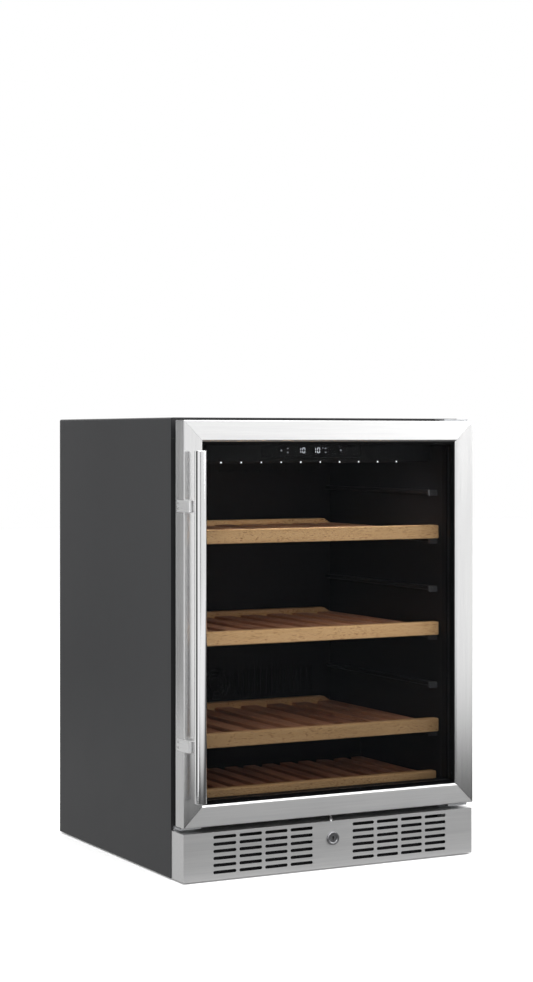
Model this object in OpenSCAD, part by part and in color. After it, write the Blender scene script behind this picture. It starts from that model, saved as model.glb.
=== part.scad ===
// Under-counter wine cooler with a glass door: a foamed steel cabinet on four
// levelling feet, a front plinth with a lock, and four wooden shelves.
// The front faces -Y, the width runs along X, and Z is up from the floor.

/* [Cabinet] */
// Overall width of the cabinet
cabinet_w = 595; // [500:1:700]
// Overall height above the floor
cabinet_h = 820; // [780:1:900]
// Depth of the cabinet without its door
cabinet_d = 540; // [500:1:640]
// Height of the cabinet's lower edge above the floor
foot_gap = 3; // [2:0.5:8]
// Thickness of the steel sheet
sheet_t = 1.2; // [0.8:0.1:2]
// Insulation in each side wall
foam_side = 32.8; // [28:0.1:45]
// Insulation over the cavity
foam_top = 27.5; // [20:0.5:45]
// Insulation under the cavity
foam_floor = 41.5; // [24:0.5:50]
// Insulation behind the cavity
foam_back = 26.5; // [22:0.5:45]
// Space under the top panel for the hinge plate
roof_gap = 6.8; // [6:0.1:12]
// Space behind the insulation for the pipes
pipe_gap = 12.8; // [11:0.1:30]
// Thickness of the moulded inner liner
liner_t = 1.5; // [1:0.1:3]

/* [Machine space] */
// Height of the air space under the insulated floor
machine_h = 72; // [64:1:100]
// Height of the hump over the compressor, from the cavity floor
hump_h = 94; // [70:1:130]
// Depth of the hump, from the rear of the liner
hump_d = 180; // [160:1:220]

/* [Door] */
// Gap from the door's top edge to the top of the cabinet
door_drop = 5; // [5:0.5:12]
// Gap between the plinth and the door
door_gap = 11; // [10:0.5:16]
// Depth of the steel door frame
door_t = 34.5; // [33:0.5:45]
// Space between the steel frame and the cabinet, for liner and gasket
seal_space = 20.5; // [18:0.5:28]
// Width of the steel frame members
frame_w = 38; // [34:1:50]
// Setback of the glass behind the frame's face
glass_setback = 4.5; // [3:0.1:6]
// Thickness of each pane
glass_t = 4; // [3:0.5:6]
// Gap between the two panes
pane_gap = 12; // [8:0.5:14]
// Distance of the hinge axis from the side of the door
hinge_inset = 10; // [9:0.5:14]
// Distance of the hinge axis behind the door's face
hinge_setback = 28; // [24:0.5:29]

/* [Handle] */
// Diameter of the handle bar
handle_dia = 22; // [16:0.5:28]
// Length of the handle bar
handle_len = 615; // [400:1:660]
// Height of the bar's lower end above the door's lower edge
handle_rise = 48; // [20:1:60]
// Distance of the bar's axis in front of the door
handle_reach = 34; // [28:1:50]
// Height of each handle strap
strap_h = 20.5; // [14:0.5:26]
// Thickness of each handle strap
strap_t = 5.5; // [4:0.1:5.5]
// Distance from each end of the bar to the middle of its strap
strap_inset = 97.5; // [40:1:140]

/* [Shelves] */
// Height of the lowest shelf above the cavity floor
first_shelf_rise = 9.5; // [9.2:0.1:30]
// Height from the lowest shelf to the next one
second_shelf_rise = 100.7; // [90:1:120]
// Distance between the rails above the lowest shelf
rail_pitch = 91.3; // [80:0.5:100]
// Height of the front board
board_h = 25; // [20:0.5:32]
// Thickness of the front board
board_t = 20; // [14:0.5:26]
// Gap between a shelf's end and the liner
shelf_side_gap = 8.8; // [5:0.1:12]
// How far the front boards stand out of the cavity
board_overhang = 5; // [0:0.5:8]
// How much farther back the lowest shelf stands
low_setback = 9; // [0:0.5:15]
// Depth of the full shelves
shelf_d = 440; // [380:1:442]
// Depth of the lowest shelf, in front of the hump
low_shelf_d = 290; // [240:1:310]
// Width of a slat on the full shelves
slat_w = 35; // [24:1:40]
// Distance between slats on the full shelves
slat_pitch = 58; // [48:1:64]
// Width of a slat on the lowest shelf
low_slat_w = 25; // [18:1:30]
// Distance between slats on the lowest shelf
low_slat_pitch = 40; // [34:1:46]
// Thickness of slats and cross bars
slat_t = 7.8; // [6:0.1:10]
// Radial clearance of a shaft that turns or slides in its bore
running_gap = 0.05; // [0.02:0.01:0.1]
// Clearance between parts that move past each other
moving_gap = 0.4; // [0.3:0.1:1]

/* [Plinth] */
// Height of the plinth
plinth_h = 84.5; // [78:0.5:100]
// Depth of the plinth in front of the cabinet
plinth_d = 52; // [48:1:58]
// Length of a ventilation slot
slot_len = 45; // [30:1:52]
// Height of a ventilation slot
slot_h = 5.8; // [4:0.1:7]
// Distance between slots along the plinth
slot_pitch_x = 51; // [40:0.5:56]
// Distance between slots up the plinth
slot_pitch_z = 12.4; // [10:0.1:14]
// Columns of slots on each side of the lock
slot_columns = 4; // [2:1:4]
// Distance from the lock to the first slots
slot_clear = 41; // [20:1:60]

/* [Fans] */
// Size of the evaporator fan's square frame
evap_fan_size = 92; // [80:1:100]
// Size of the condenser fan's square frame
cond_fan_size = 130; // [110:1:136]
// Depth of a fan frame
fan_depth = 25; // [20:1:32]

/* [Hidden] */
$fn = 48;
eps = 0.1;
// Screws and pins: the gap round a fastener, and between a part and its seat.
screw_gap = 0.05;
seat_gap = 0.2;

steel = "#c9cbcb";
dark_steel = "#45474a";
black = "#17181a";
beech = "#c39a68";
stained = "#8a5a3c";
copper = "#b87345";
clear = [0.45, 0.5, 0.52, 0.35];

// Depths count from the cabinet's front face, which lies at front_y.
door_face = -(door_t + seal_space);
handle_y = door_face - handle_reach;
front_y = -(cabinet_d + handle_y - handle_dia / 2) / 2;

half_w = cabinet_w / 2;
in_w = half_w - sheet_t;
cavity_w = in_w - foam_side - liner_t;
floor_z = foot_gap + machine_h + foam_floor + liner_t;
cavity_top = cabinet_h - sheet_t - roof_gap - foam_top - liner_t;
cavity_back = cabinet_d - sheet_t - pipe_gap - foam_back - liner_t;
hump_front = cavity_back - hump_d;
hump_top = floor_z + hump_h;
foam_joint = 0.2;
foam_x = [-cavity_w - liner_t + foam_joint, cavity_w + liner_t - foam_joint];
foam_rear = cavity_back + liner_t;
foam_low = foot_gap + machine_h;
foam_high = cavity_top + liner_t + foam_top;
hump_foam = 30;
bay_top = hump_top - liner_t - hump_foam;
bay_front = hump_front + liner_t + hump_foam;

// The evaporator stands in a duct behind a flat cover.
duct_d = 48;
cover_t = 3;
cover_y = cavity_back - duct_d - cover_t;
cover_low = hump_top + 2;
evap_fan_z = cover_low + 74;
evap_fan_y = cover_y + cover_t + 2;
coil_w = 360;
coil_d = 30;
coil_h = 176;
coil_y = cover_y + cover_t + 8 + coil_d / 2;
vent_slots = 14;
vent_pitch = 13;
vent_slot_w = 6;
vent_slot_h = 49;

// Fans.
fan_wall = 3;
fan_shaft_r = 2;
motor_t = 7;
strut_t = 4;
blade_count = 7;
blade_turn = 36;
evap_motor_r = 15;
cond_motor_r = 20;

// The door.
door_low = foot_gap + plinth_h + door_gap;
door_high = cabinet_h - door_drop;
door_h = door_high - door_low;
door_mid = (door_low + door_high) / 2;
mitre_gap = 0.15;
hinge_x = half_w - hinge_inset;
hinge_y = door_face + hinge_setback;
pin_r = 4;
bush_r = 6.3;
bush_len = 16;
pin_len = 14;
top_plate_t = 3;
top_plate_gap = 0.6;
low_plate_t = 4;
lip_bevel = 3;
glass_edge = frame_w - 6.5;
unit_back = glass_setback + 2 * glass_t + pane_gap;
liner_step = 0.2;
liner_inner = frame_w + 6;
gasket_low = door_t + liner_step + 7.8;

// Sections of the door's mitred rings: distance inward from the door's edge
// against depth behind its face.
frame_section = [
    [0, door_t], [0, 0], [frame_w - lip_bevel, 0], [frame_w, lip_bevel], [frame_w, glass_setback - 0.3],
    [frame_w - sheet_t, glass_setback - 0.3], [frame_w - sheet_t, lip_bevel + 0.5],
    [frame_w - lip_bevel - 0.5, sheet_t], [sheet_t, sheet_t], [sheet_t, door_t]];
core_section = [[sheet_t + 0.1, sheet_t + 0.1], [glass_edge - 0.4, sheet_t + 0.1],
    [glass_edge - 0.4, door_t], [sheet_t + 0.1, door_t]];
spacer_front = glass_setback + glass_t + 0.02;
spacer_back = unit_back - glass_t - 0.02;
spacer_section = [[glass_edge + 4, spacer_front], [glass_edge + 13, spacer_front],
    [glass_edge + 13, spacer_back], [glass_edge + 4, spacer_back]];
liner_section = [[6, door_t + liner_step], [glass_edge, door_t + liner_step], [glass_edge, unit_back + 0.2],
    [liner_inner, unit_back + 0.2], [liner_inner, gasket_low], [6, gasket_low]];
gasket_section = [[12, gasket_low + eps], [26, gasket_low + eps], [26, gasket_low + 4],
    [17.5, -door_face - moving_gap], [10, -door_face - moving_gap], [10, gasket_low + 5]];

// The handle's straps lie flush in the side of the door.
handle_low = door_low + handle_rise;
handle_inset = strap_t + 0.3 + handle_dia / 2;
handle_x = -half_w + handle_inset;
strap_z = [handle_low + strap_inset, handle_low + handle_len - strap_inset];
strap_back = door_face + 28;
strap_stub_r = 4;
strap_head_r = 2.6;
strap_shank_r = 1.5;

// Control housing under the cavity roof.
housing_y = 32;
housing_d = 68;
housing_h = 42;
housing_low = cavity_top - 0.5 - housing_h;
housing_t = 2.5;
window_w = 206;
window_h = 26;
window_z = housing_low + 20;
led_count = 10;
led_pitch = 40.7;
led_r = 2.2;

// Shelves, counted from the top: number 4 is the short one at the bottom.
shelf_w = 2 * (cavity_w - shelf_side_gap);
rail_w = 16;
rail_h = 9;
rail_front = 22;
low_rail = floor_z + first_shelf_rise;
next_rail = low_rail + second_shelf_rise;
rail_count = floor((housing_low - 30 - next_rail) / rail_pitch) + 1;
rail_tops = [low_rail, for (i = [0:rail_count - 1]) next_rail + i * rail_pitch];
shelf_z = [rail_tops[rail_count - 1], rail_tops[rail_count - 3], rail_tops[1], rail_tops[0]];
bar_w = 22;
shelf_play = 0.3;
slat_drop = 9;

// The plinth's slots fill its height.
plinth_w = cabinet_w - 2;
slot_rows = floor((plinth_h - slot_h - 8) / slot_pitch_z) + 1;
slot_lift = 2;

// The lock and its bolt.
lock_x = 0;
lock_z = foot_gap + 53.3;
lock_r = 12;
barrel_r = 9.5;
plug_r = 7;
bolt_y = -44;
bolt_r = 2.5;
bolt_top = door_low - 2;
bolt_travel = 8;
cam_r = bolt_travel / sqrt(2);
cam_pin_r = 1.5;
cam_y = -22;

// Machine space.
base_z = foot_gap + 7;
base_t = 1.5;
deck_z = base_z + base_t;
comp_x = cavity_w - 132;
comp_y = cabinet_d - 100;
comp_r = 62;
comp_h = 140;
mount_w = 190;
mount_d = 110;
mount_t = 3;
grommet_h = 10;
comp_z = deck_z + grommet_h + mount_t;
tray_w = 140;
tray_d = 110;
tray_h = 10;
tray_t = 2;
cond_x = -cavity_w + 126;
cond_y = bay_front + 34;
cond_w = 200;
cond_d = 44;
inlet_x = -in_w + 91.3;
inlet_z = 62;
inlet_w = 28;
inlet_h = 22;
inlet_d = 24;
pipe_r = 4;
pipe_x = comp_x + comp_r + 34;
pipe_y = cabinet_d - sheet_t - pipe_gap / 2;
pipe_high = 500;

// Screw heads.
head_r = 3.5;
head_t = 1.4;
flush_head_r = 3.6;

// Feet.
foot_r = 17;
foot_pad = 8;
stem_r = 5;
stem_len = 48;
boss_r = 10;
foot_x = half_w - 42;
foot_front_y = 45;
foot_rear_y = cabinet_d - 40;

// A block between two corners, given as ranges along X, Y and Z.
module block(x, y, z)
    translate([x[0], y[0], z[0]]) cube([x[1] - x[0], y[1] - y[0], z[1] - z[0]]);

// Depths inside these modules count from the cabinet's front face.
module from_front() translate([0, front_y, 0]) children();

// A round bar along Y, starting at y = 0.
module bar_y(r, len) rotate([-90, 0, 0]) cylinder(r = r, h = len);

// One member of a mitred frame: its section is drawn as distance inward from
// the frame's outer edge against depth behind the frame's face.
module frame_member(section, len) {
    inward = max([for (p = section) p[0]]);
    depth = max([for (p = section) p[1]]);
    run = len / 2 - mitre_gap;
    intersection() {
        translate([-len / 2, 0, 0]) rotate([90, 0, 90]) linear_extrude(len) polygon(section);
        translate([0, 0, -eps]) linear_extrude(depth + 2 * eps)
            polygon([[-run, 0], [run, 0], [run - inward, inward], [inward - run, inward]]);
    }
}

module frame_bottom(section) translate([0, 0, -door_h / 2])
    rotate([90, 0, 180]) frame_member(section, cabinet_w);
module frame_top(section) rotate([0, 180, 0]) frame_bottom(section);
module frame_left(section) translate([-half_w, 0, 0])
    rotate([-90, -90, 0]) frame_member(section, door_h);
module frame_right(section) rotate([0, 180, 0]) frame_left(section);
module frame_ring(section) {
    frame_bottom(section);
    frame_top(section);
    frame_left(section);
    frame_right(section);
}

// Moves children from the middle of the door's face to the door's place.
module at_door() from_front() translate([0, door_face, door_mid]) children();

// ---- Cabinet shell ----

// Two sides and the top, bent from one sheet.
module outer_casing() from_front() color(dark_steel) difference() {
    block([-half_w, half_w], [0, cabinet_d], [foot_gap, cabinet_h]);
    block([-in_w, in_w], [-1, cabinet_d + 1], [foot_gap - 1, cabinet_h - sheet_t]);
}

module back_panel() from_front() color(dark_steel) difference() {
    block([-in_w, in_w], [cabinet_d - sheet_t, cabinet_d], [bay_top, cabinet_h - sheet_t]);
    rear_screws(screw_gap);
}

// The removable cover of the machine space, with louvre slots and the inlet's hole.
module rear_cover() from_front() color(dark_steel) difference() {
    block([-in_w, in_w], [cabinet_d - sheet_t, cabinet_d], [deck_z, bay_top - 0.2]);
    for (column = [-1, 0, 1], row = [0:8])
        translate([column * 118 + 60, cabinet_d - sheet_t / 2, deck_z + 34 + row * 12])
            cube([92, 2 * sheet_t, 5], center = true);
    translate([inlet_x, cabinet_d, inlet_z])
        cube([inlet_w + 2 * seat_gap, 10, inlet_h + 2 * seat_gap], center = true);
    rear_screws(screw_gap);
}

module base_pan() from_front() color(steel) difference() {
    union() {
        block([-in_w, in_w], [sheet_t, cabinet_d - sheet_t], [base_z, deck_z]);
        for (s = [-1, 1])
            translate([s * (in_w - sheet_t / 2), cabinet_d / 2, (base_z + foam_low) / 2])
                cube([sheet_t, cabinet_d - 2 * sheet_t, foam_low - base_z], center = true);
        for (x = [-1, 1], y = [foot_front_y, foot_rear_y])
            translate([x * foot_x, y, deck_z - eps]) cylinder(r = boss_r, h = 30);
    }
    for (x = [-1, 1], y = [foot_front_y, foot_rear_y])
        translate([x * foot_x, y, base_z - 1]) cylinder(r = stem_r + running_gap, h = 60);
}

// Four flat flanges that the door gasket seals against.
module front_flange() from_front() color(dark_steel) difference() {
    union() {
        for (s = [-1, 1])
            translate([s * (cavity_w + in_w) / 2, sheet_t / 2, (floor_z + cavity_top) / 2])
                cube([in_w - cavity_w - 0.1, sheet_t, cavity_top - floor_z - 0.2], center = true);
        block([-in_w, in_w], [0, sheet_t], [cavity_top, cabinet_h - sheet_t]);
        block([-in_w, in_w], [0, sheet_t], [foam_low - 8, floor_z]);
    }
    block([hinge_x - 45, in_w + 1], [-1, sheet_t + 1], [door_high + top_plate_gap - 0.3, cabinet_h - sheet_t + 1]);
}

// Rigid foam, cut as panels that stand together.
module insulation_foam() from_front() color("#e8dfae") difference() {
    union() {
        for (s = [-1, 1])
            block(s > 0 ? [cavity_w + liner_t, in_w] : [-in_w, -cavity_w - liner_t],
                [sheet_t, cabinet_d - sheet_t - pipe_gap], [foam_low, foam_high]);
        block(foam_x, [sheet_t, cabinet_d - sheet_t - pipe_gap], [cavity_top + liner_t, foam_high]);
        block(foam_x, [sheet_t, hump_front + liner_t], [foam_low, floor_z - liner_t]);
        block(foam_x, [hump_front + liner_t + foam_joint, bay_front], [foam_low, hump_top - liner_t]);
        block(foam_x, [bay_front + foam_joint, foam_rear - foam_joint], [bay_top, hump_top - liner_t]);
        block(foam_x, [foam_rear, cabinet_d - sheet_t - pipe_gap],
            [bay_top, cavity_top + liner_t - foam_joint]);
    }
    translate([pipe_x, foam_rear - 1, pipe_high]) bar_y(pipe_r + 0.5, foam_back + 2);
}

// One moulded skin with the hump over the machine space.
module inner_liner() from_front() color(black) difference() {
    block([-cavity_w - liner_t, cavity_w + liner_t] + [0.1, -0.1], [sheet_t + 0.1, cavity_back + liner_t],
        [floor_z - liner_t, cavity_top + liner_t] + [0.1, -0.1]);
    difference() {
        block([-cavity_w, cavity_w], [-1, cavity_back], [floor_z, cavity_top]);
        block([-cavity_w - 1, cavity_w + 1], [hump_front, cavity_back + 1], [floor_z - 1, hump_top]);
    }
    block([-half_w, half_w], [hump_front + liner_t, cabinet_d], [0, hump_top - liner_t]);
    translate([pipe_x, cavity_back - 1, pipe_high]) bar_y(pipe_r + 0.5, liner_t + 2);
}

// Moulded rails, one pair for each place where a shelf can sit.
module both_sides() {
    children();
    mirror([1, 0, 0]) children();
}

module shelf_rails() from_front() color(black)
    for (i = [0:len(rail_tops) - 1]) {
        back = i == 0 ? hump_front - 2 : cover_y - 6;
        both_sides() translate([cavity_w, rail_front, rail_tops[i]]) rotate([-90, 0, 0])
            linear_extrude(back - rail_front)
                polygon([[0, 0], [-rail_w, 0], [-rail_w, 0.6 * rail_h], [-rail_w / 2, rail_h],
                    [0, rail_h]]);
    }

// ---- Cooling parts ----

// A flat cover with a round fan grille between two rows of upright slots.
module evaporator_cover() from_front() color(black) difference() {
    block([-cavity_w + 1, cavity_w - 1], [cover_y, cover_y + cover_t], [cover_low, cavity_top - 1]);
    for (s = [-1, 1], i = [0:vent_slots - 1])
        translate([s * (evap_fan_size / 2 + i * vent_pitch), cover_y + cover_t / 2, evap_fan_z])
            cube([vent_slot_w, 2 * cover_t, vent_slot_h], center = true);
    translate([0, cover_y + cover_t + 1, evap_fan_z]) rotate([90, 0, 0]) linear_extrude(cover_t + 2)
        difference() {
            for (r = [12, 20, 28]) difference() {
                circle(r = r + 4.5);
                circle(r = r);
            }
            for (a = [0, 60, 120]) rotate(a) square([90, 3.5], center = true);
        }
    for (i = [-7:7]) translate([i * 30, cover_y + cover_t / 2, housing_low - 23.5])
        cube([18, 2 * cover_t, 5], center = true);
}

// A fin-and-tube block: tubes cross the fins and turn back at both ends.
module finned_coil(w, d, h, fins, rows) {
    fin_t = 0.8;
    step = h / rows;
    tube_r = 4;
    for (i = [0:fins - 1])
        translate([-w / 2 + i * w / (fins - 1) - fin_t / 2, 0, 0]) cube([fin_t, d, h]);
    for (j = [0:rows - 1])
        translate([-w / 2 - 6, d / 2, (j + 0.5) * step]) rotate([0, 90, 0])
            cylinder(r = tube_r, h = w + 12);
    for (j = [0:rows - 2])
        translate([(j % 2 == 0 ? 1 : -1) * (w / 2 + 6), d / 2, (j + 1) * step]) rotate([90, 0, 0])
            rotate([0, 0, j % 2 == 0 ? -90 : 90]) rotate_extrude(angle = 180)
                translate([step / 2, 0]) circle(r = tube_r);
}

module evaporator_coil() from_front() color("silver")
    translate([0, coil_y - coil_d / 2, pipe_high - coil_h / 2]) finned_coil(coil_w, coil_d, coil_h, 25, 5);

module condenser_coil() from_front() color(copper)
    translate([cond_x, cond_y + 16, deck_z + seat_gap])
        finned_coil(cond_w, cond_d, bay_top - deck_z - 16, 21, 5);

// A square fan frame with its motor on three struts and a fixed shaft.
module fan_frame(size, motor_r) {
    bore = size / 2 - fan_wall;
    difference() {
        translate([-size / 2, 0, -size / 2]) cube([size, fan_depth, size]);
        translate([0, -1, 0]) bar_y(bore, fan_depth + 2);
        for (x = [-1, 1], z = [-1, 1])
            translate([x * (size / 2 - 6), -1, z * (size / 2 - 6)]) bar_y(2.2, fan_depth + 2);
    }
    for (a = [90, 210, 330]) rotate([0, a, 0])
        translate([0, fan_depth - strut_t, -3]) cube([bore + 1, strut_t, 6]);
    translate([0, fan_depth - motor_t, 0]) bar_y(motor_r, motor_t);
    translate([0, 4, 0]) bar_y(fan_shaft_r, fan_depth - 8);
}

// Blades turn on the frame's shaft, clear of its wall and its motor.
module fan_blades(size, motor_r) {
    tip = size / 2 - fan_wall - 2;
    width = fan_depth - motor_t - 4;
    difference() {
        union() {
            translate([0, 3, 0]) bar_y(motor_r, width);
            intersection() {
                for (i = [1:blade_count]) rotate([0, i * 360 / blade_count, 0]) rotate([blade_turn, 0, 0])
                    translate([motor_r - 1, 4, -1]) cube([size, width, 1.8]);
                translate([0, 3, 0]) bar_y(tip, width);
            }
        }
        translate([0, 2, 0]) bar_y(fan_shaft_r + running_gap, fan_depth);
    }
}

module at_evap_fan() from_front() translate([0, evap_fan_y, evap_fan_z]) children();
module at_cond_fan() from_front()
    translate([cond_x, cond_y - 16, deck_z + cond_fan_size / 2 + seat_gap]) children();
module evaporator_fan_frame() color(black) at_evap_fan() fan_frame(evap_fan_size, evap_motor_r);
module evaporator_fan_blades() color("dimgray") at_evap_fan() fan_blades(evap_fan_size, evap_motor_r);
module condenser_fan_frame() color(black) at_cond_fan() fan_frame(cond_fan_size, cond_motor_r);
module condenser_fan_blades() color("dimgray") at_cond_fan() fan_blades(cond_fan_size, cond_motor_r);

// A drawn steel can with a terminal box on its side.
module compressor() from_front() color(black) translate([comp_x, comp_y, comp_z]) {
    round_r = 22;
    rotate_extrude() {
        square([comp_r - round_r, comp_h]);
        translate([0, round_r]) square([comp_r, comp_h - 2 * round_r]);
        for (z = [round_r, comp_h - round_r]) translate([comp_r - round_r, z]) circle(r = round_r);
    }
    translate([0, 0, comp_h * 0.55]) cylinder(r = comp_r + 2.5, h = 4);
    terminal = [48, 30, 46];
    translate([-terminal[0] / 2, -comp_r - 20, 40]) cube(terminal);
}

// Mounting plate on four rubber grommets.
module compressor_mount() from_front() color(dark_steel) translate([comp_x, comp_y, deck_z]) {
    translate([-mount_w / 2, -mount_d / 2, grommet_h - seat_gap]) cube([mount_w, mount_d, mount_t]);
    for (x = [-1, 1], y = [-1, 1])
        translate([x * (mount_w / 2 - 17), y * (mount_d / 2 - 13), 0]) {
            cylinder(r = 11, h = 4);
            cylinder(r = 7, h = grommet_h);
        }
}

module drain_pan() from_front() color("#d9d9d2") translate([comp_x, comp_y, comp_z + comp_h + 0.2]) {
    difference() {
        translate([-tray_w / 2, -tray_d / 2, 0]) cube([tray_w, tray_d, tray_h]);
        translate([tray_t - tray_w / 2, tray_t - tray_d / 2, tray_t])
            cube([tray_w - 2 * tray_t, tray_d - 2 * tray_t, tray_h]);
    }
}

// A pipe through a list of points, rounded at every turn.
module pipe(points, r) for (i = [0:len(points) - 2]) {
    step = points[i + 1] - points[i];
    translate(points[i]) rotate([0, acos(step[2] / norm(step)), atan2(step[1], step[0])])
        cylinder(r = r, h = norm(step));
    if (i > 0) translate(points[i]) sphere(r = r);
}

module refrigerant_pipe() from_front() color(copper) pipe([
    [comp_x + comp_r + 0.1, comp_y, comp_z + 60],
    [pipe_x, comp_y, comp_z + 60],
    [pipe_x, pipe_y, comp_z + 60],
    [pipe_x, pipe_y, pipe_high],
    [pipe_x, coil_y, pipe_high],
    [pipe_x - 12, coil_y, pipe_high]], pipe_r);

// A recessed three-pin inlet, held by its flange behind the cover.
module power_inlet() from_front() color(black) translate([inlet_x, cabinet_d, inlet_z]) {
    difference() {
        union() {
            translate([-inlet_w / 2, -inlet_d, -inlet_h / 2]) cube([inlet_w, inlet_d, inlet_h]);
            translate([-25, -sheet_t - seat_gap - 2, -13]) cube([50, 2, 26]);
        }
        translate([2.5 - inlet_w / 2, 6 - inlet_d, 3 - inlet_h / 2])
            cube([inlet_w - 5, inlet_d, inlet_h - 6]);
    }
    for (pin = [-1, 0, 1]) translate([pin * 7 - 1, 5 - inlet_d, pin == 0 ? 1 : -3]) cube([2, 15, 4]);
}

// ---- Controls and light ----

module control_housing() from_front() color(black) difference() {
    width = [-cavity_w + 5, cavity_w - 5];
    block(width, [housing_y, housing_y + housing_d], [housing_low, housing_low + housing_h]);
    block(width + [housing_t, -housing_t],
        [housing_y + housing_t, housing_y + housing_d - housing_t],
        [housing_low + housing_t, housing_low + housing_h + 1]);
    translate([0, housing_y, window_z]) cube([window_w + 0.4, 20, window_h + 0.4], center = true);
}

module display_window() from_front() color("#101113")
    translate([0, housing_y + 1.5, window_z]) cube([window_w, 3, window_h], center = true);

// Circuit board with its two displays, relay and capacitor.
module control_board() from_front() color("darkgreen") translate([0, housing_y + 9, window_z]) {
    translate([-95, 0, -12]) cube([190, 1.6, 24]);
    for (x = [-26, 2]) translate([x, -5, -7]) cube([24, 5.05, 13]);
    translate([50, 1.5, -9]) cube([20, 16, 16]);
    translate([-60, 1.5, 0]) bar_y(6, 20);
}

// A light bar under the front of the housing, with one round lens per light.
module led_strip() from_front() color("white") {
    block([-led_pitch * led_count / 2, led_pitch * led_count / 2], [housing_y + 2, housing_y + 14],
        [housing_low - 2, housing_low]);
    for (i = [0:led_count - 1])
        translate([(i - (led_count - 1) / 2) * led_pitch, housing_y + 4, housing_low - led_r - seat_gap])
            sphere(r = led_r);
}

// ---- Plinth and lock ----

module slot(len, h, depth) rotate([90, 0, 0]) translate([0, 0, -depth / 2]) linear_extrude(depth) {
    square([len - h, h], center = true);
    for (x = [-1, 1]) translate([x * (len - h) / 2, 0]) circle(d = h);
}

module plinth_grille() from_front() color(steel) difference() {
    block([-plinth_w / 2, plinth_w / 2], [-plinth_d, 0], [foot_gap, foot_gap + plinth_h]);
    block([-plinth_w / 2, plinth_w / 2] + [sheet_t, -sheet_t], [-plinth_d + sheet_t, 1],
        [foot_gap - 1, foot_gap + plinth_h - sheet_t]);
    block([-plinth_w / 2, plinth_w / 2] + [sheet_t, -sheet_t], [-6, 1], [foot_gap, cabinet_h]);
    for (s = [-1, 1], i = [0:slot_columns - 1], j = [0:slot_rows - 1])
        translate([s * (slot_clear + slot_len / 2 + i * slot_pitch_x), -plinth_d,
            foot_gap + plinth_h / 2 + slot_lift + (j - (slot_rows - 1) / 2) * slot_pitch_z])
            slot(slot_len, slot_h, 3 * sheet_t);
    translate([lock_x, -plinth_d - 1, lock_z]) bar_y(barrel_r + 0.2, 4);
    translate([lock_x, bolt_y, foot_gap + plinth_h - 5]) cylinder(r = bolt_r + moving_gap, h = 10);
}

// Barrel with its rim, and a guide for the bolt above it.
module lock_housing() from_front() color("silver") difference() {
    union() {
        translate([lock_x, -plinth_d - 2.5, lock_z]) bar_y(lock_r, 2.5);
        translate([lock_x, -plinth_d - eps, lock_z]) bar_y(barrel_r, plinth_d + cam_y - 4 - moving_gap);
        block([lock_x - 6, lock_x + 6], [bolt_y - 6, bolt_y + 6],
            [lock_z + barrel_r - 2, foot_gap + plinth_h - sheet_t - seat_gap]);
    }
    translate([lock_x, -plinth_d - 3, lock_z]) bar_y(plug_r + running_gap, plinth_d);
    translate([lock_x, bolt_y, lock_z + plug_r + 1]) cylinder(r = bolt_r + running_gap, h = 60);
    block([lock_x - bolt_r - 0.5, lock_x + bolt_r + 0.5], [bolt_y, bolt_y + 7],
        [lock_z + barrel_r + 1, cabinet_h]);
}

// The plug turns with its cam, whose pin lifts the bolt.
module lock_cylinder() from_front() color("#7b7d80") {
    difference() {
        translate([lock_x, -plinth_d - 1.5, lock_z]) bar_y(plug_r, plinth_d + cam_y - 1);
        translate([lock_x - 1, -plinth_d - 2, lock_z - 3.5]) cube([2, 14, 7]);
        translate([lock_x, -plinth_d - 2, lock_z + 2]) bar_y(2, 14);
    }
    translate([lock_x, cam_y - 4, lock_z]) bar_y(cam_r + cam_pin_r, 2);
    translate([lock_x + cam_r * cos(45), cam_y - 3, lock_z - cam_r * sin(45)]) bar_y(cam_pin_r, 8);
}

// An upright bolt with a slotted tail that the cam's pin runs in.
module lock_bolt() from_front() color("silver") difference() {
    tail_y = cam_y + moving_gap - 1;
    tail_t = 3;
    arm_z = [lock_z + barrel_r + 3, lock_z + barrel_r + 7];
    pin_z = lock_z - cam_r * sin(45);
    union() {
        translate([lock_x, bolt_y, arm_z[0]]) cylinder(r = bolt_r, h = bolt_top - arm_z[0]);
        block([lock_x - bolt_r, lock_x + bolt_r], [bolt_y, tail_y + tail_t], arm_z);
        block([lock_x - 5, lock_x + 9], [tail_y, tail_y + tail_t], [lock_z - 9, arm_z[1]]);
    }
    block([lock_x + 1, lock_x + 7.8], [tail_y - 1, tail_y + tail_t + 1],
        [pin_z - cam_pin_r - moving_gap, pin_z + cam_pin_r + moving_gap]);
}

// ---- Hinges and fasteners ----

// Plates on the cabinet that carry the door's two hinge pins. The opposite
// side has the same lower plate, so that the door can be hung the other way.
module hinge_brackets() from_front() color(steel) {
    lower_x = [hinge_x - 35, half_w - 4];
    lower_z = [door_low - 3 - low_plate_t, door_low - 3];
    pin_plate_y = hinge_y - 12;
    translate([hinge_x, hinge_y, 0]) {
        translate([0, 0, door_high - pin_len + 4]) cylinder(r = pin_r, h = pin_len - 2);
        translate([0, 0, door_low - 6]) cylinder(r = pin_r, h = pin_len + 2);
    }
    block([hinge_x - 43, half_w - 2], [pin_plate_y, 40],
        [door_high + top_plate_gap, door_high + top_plate_gap + top_plate_t]);
    block(lower_x, [pin_plate_y, -low_plate_t], lower_z);
    difference() {
        both_sides() {
            block(lower_x, [-30, -low_plate_t + eps], lower_z);
            block(lower_x, [-low_plate_t, 0], [foam_low - 16, door_low - 3]);
        }
        hinge_screws(screw_gap);
    }
}

// Screws that hold the rear panels, with flush heads.
module rear_screws(gap)
    for (x = [-1, 1], z = [deck_z + 8, bay_top - 10, bay_top + 14, cabinet_h - 24])
        translate([x * (in_w - 12), cabinet_d - sheet_t, z]) {
            bar_y(flush_head_r + gap, sheet_t + gap);
            translate([0, -8, 0]) bar_y(2 + gap, 8 + gap);
        }

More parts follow.
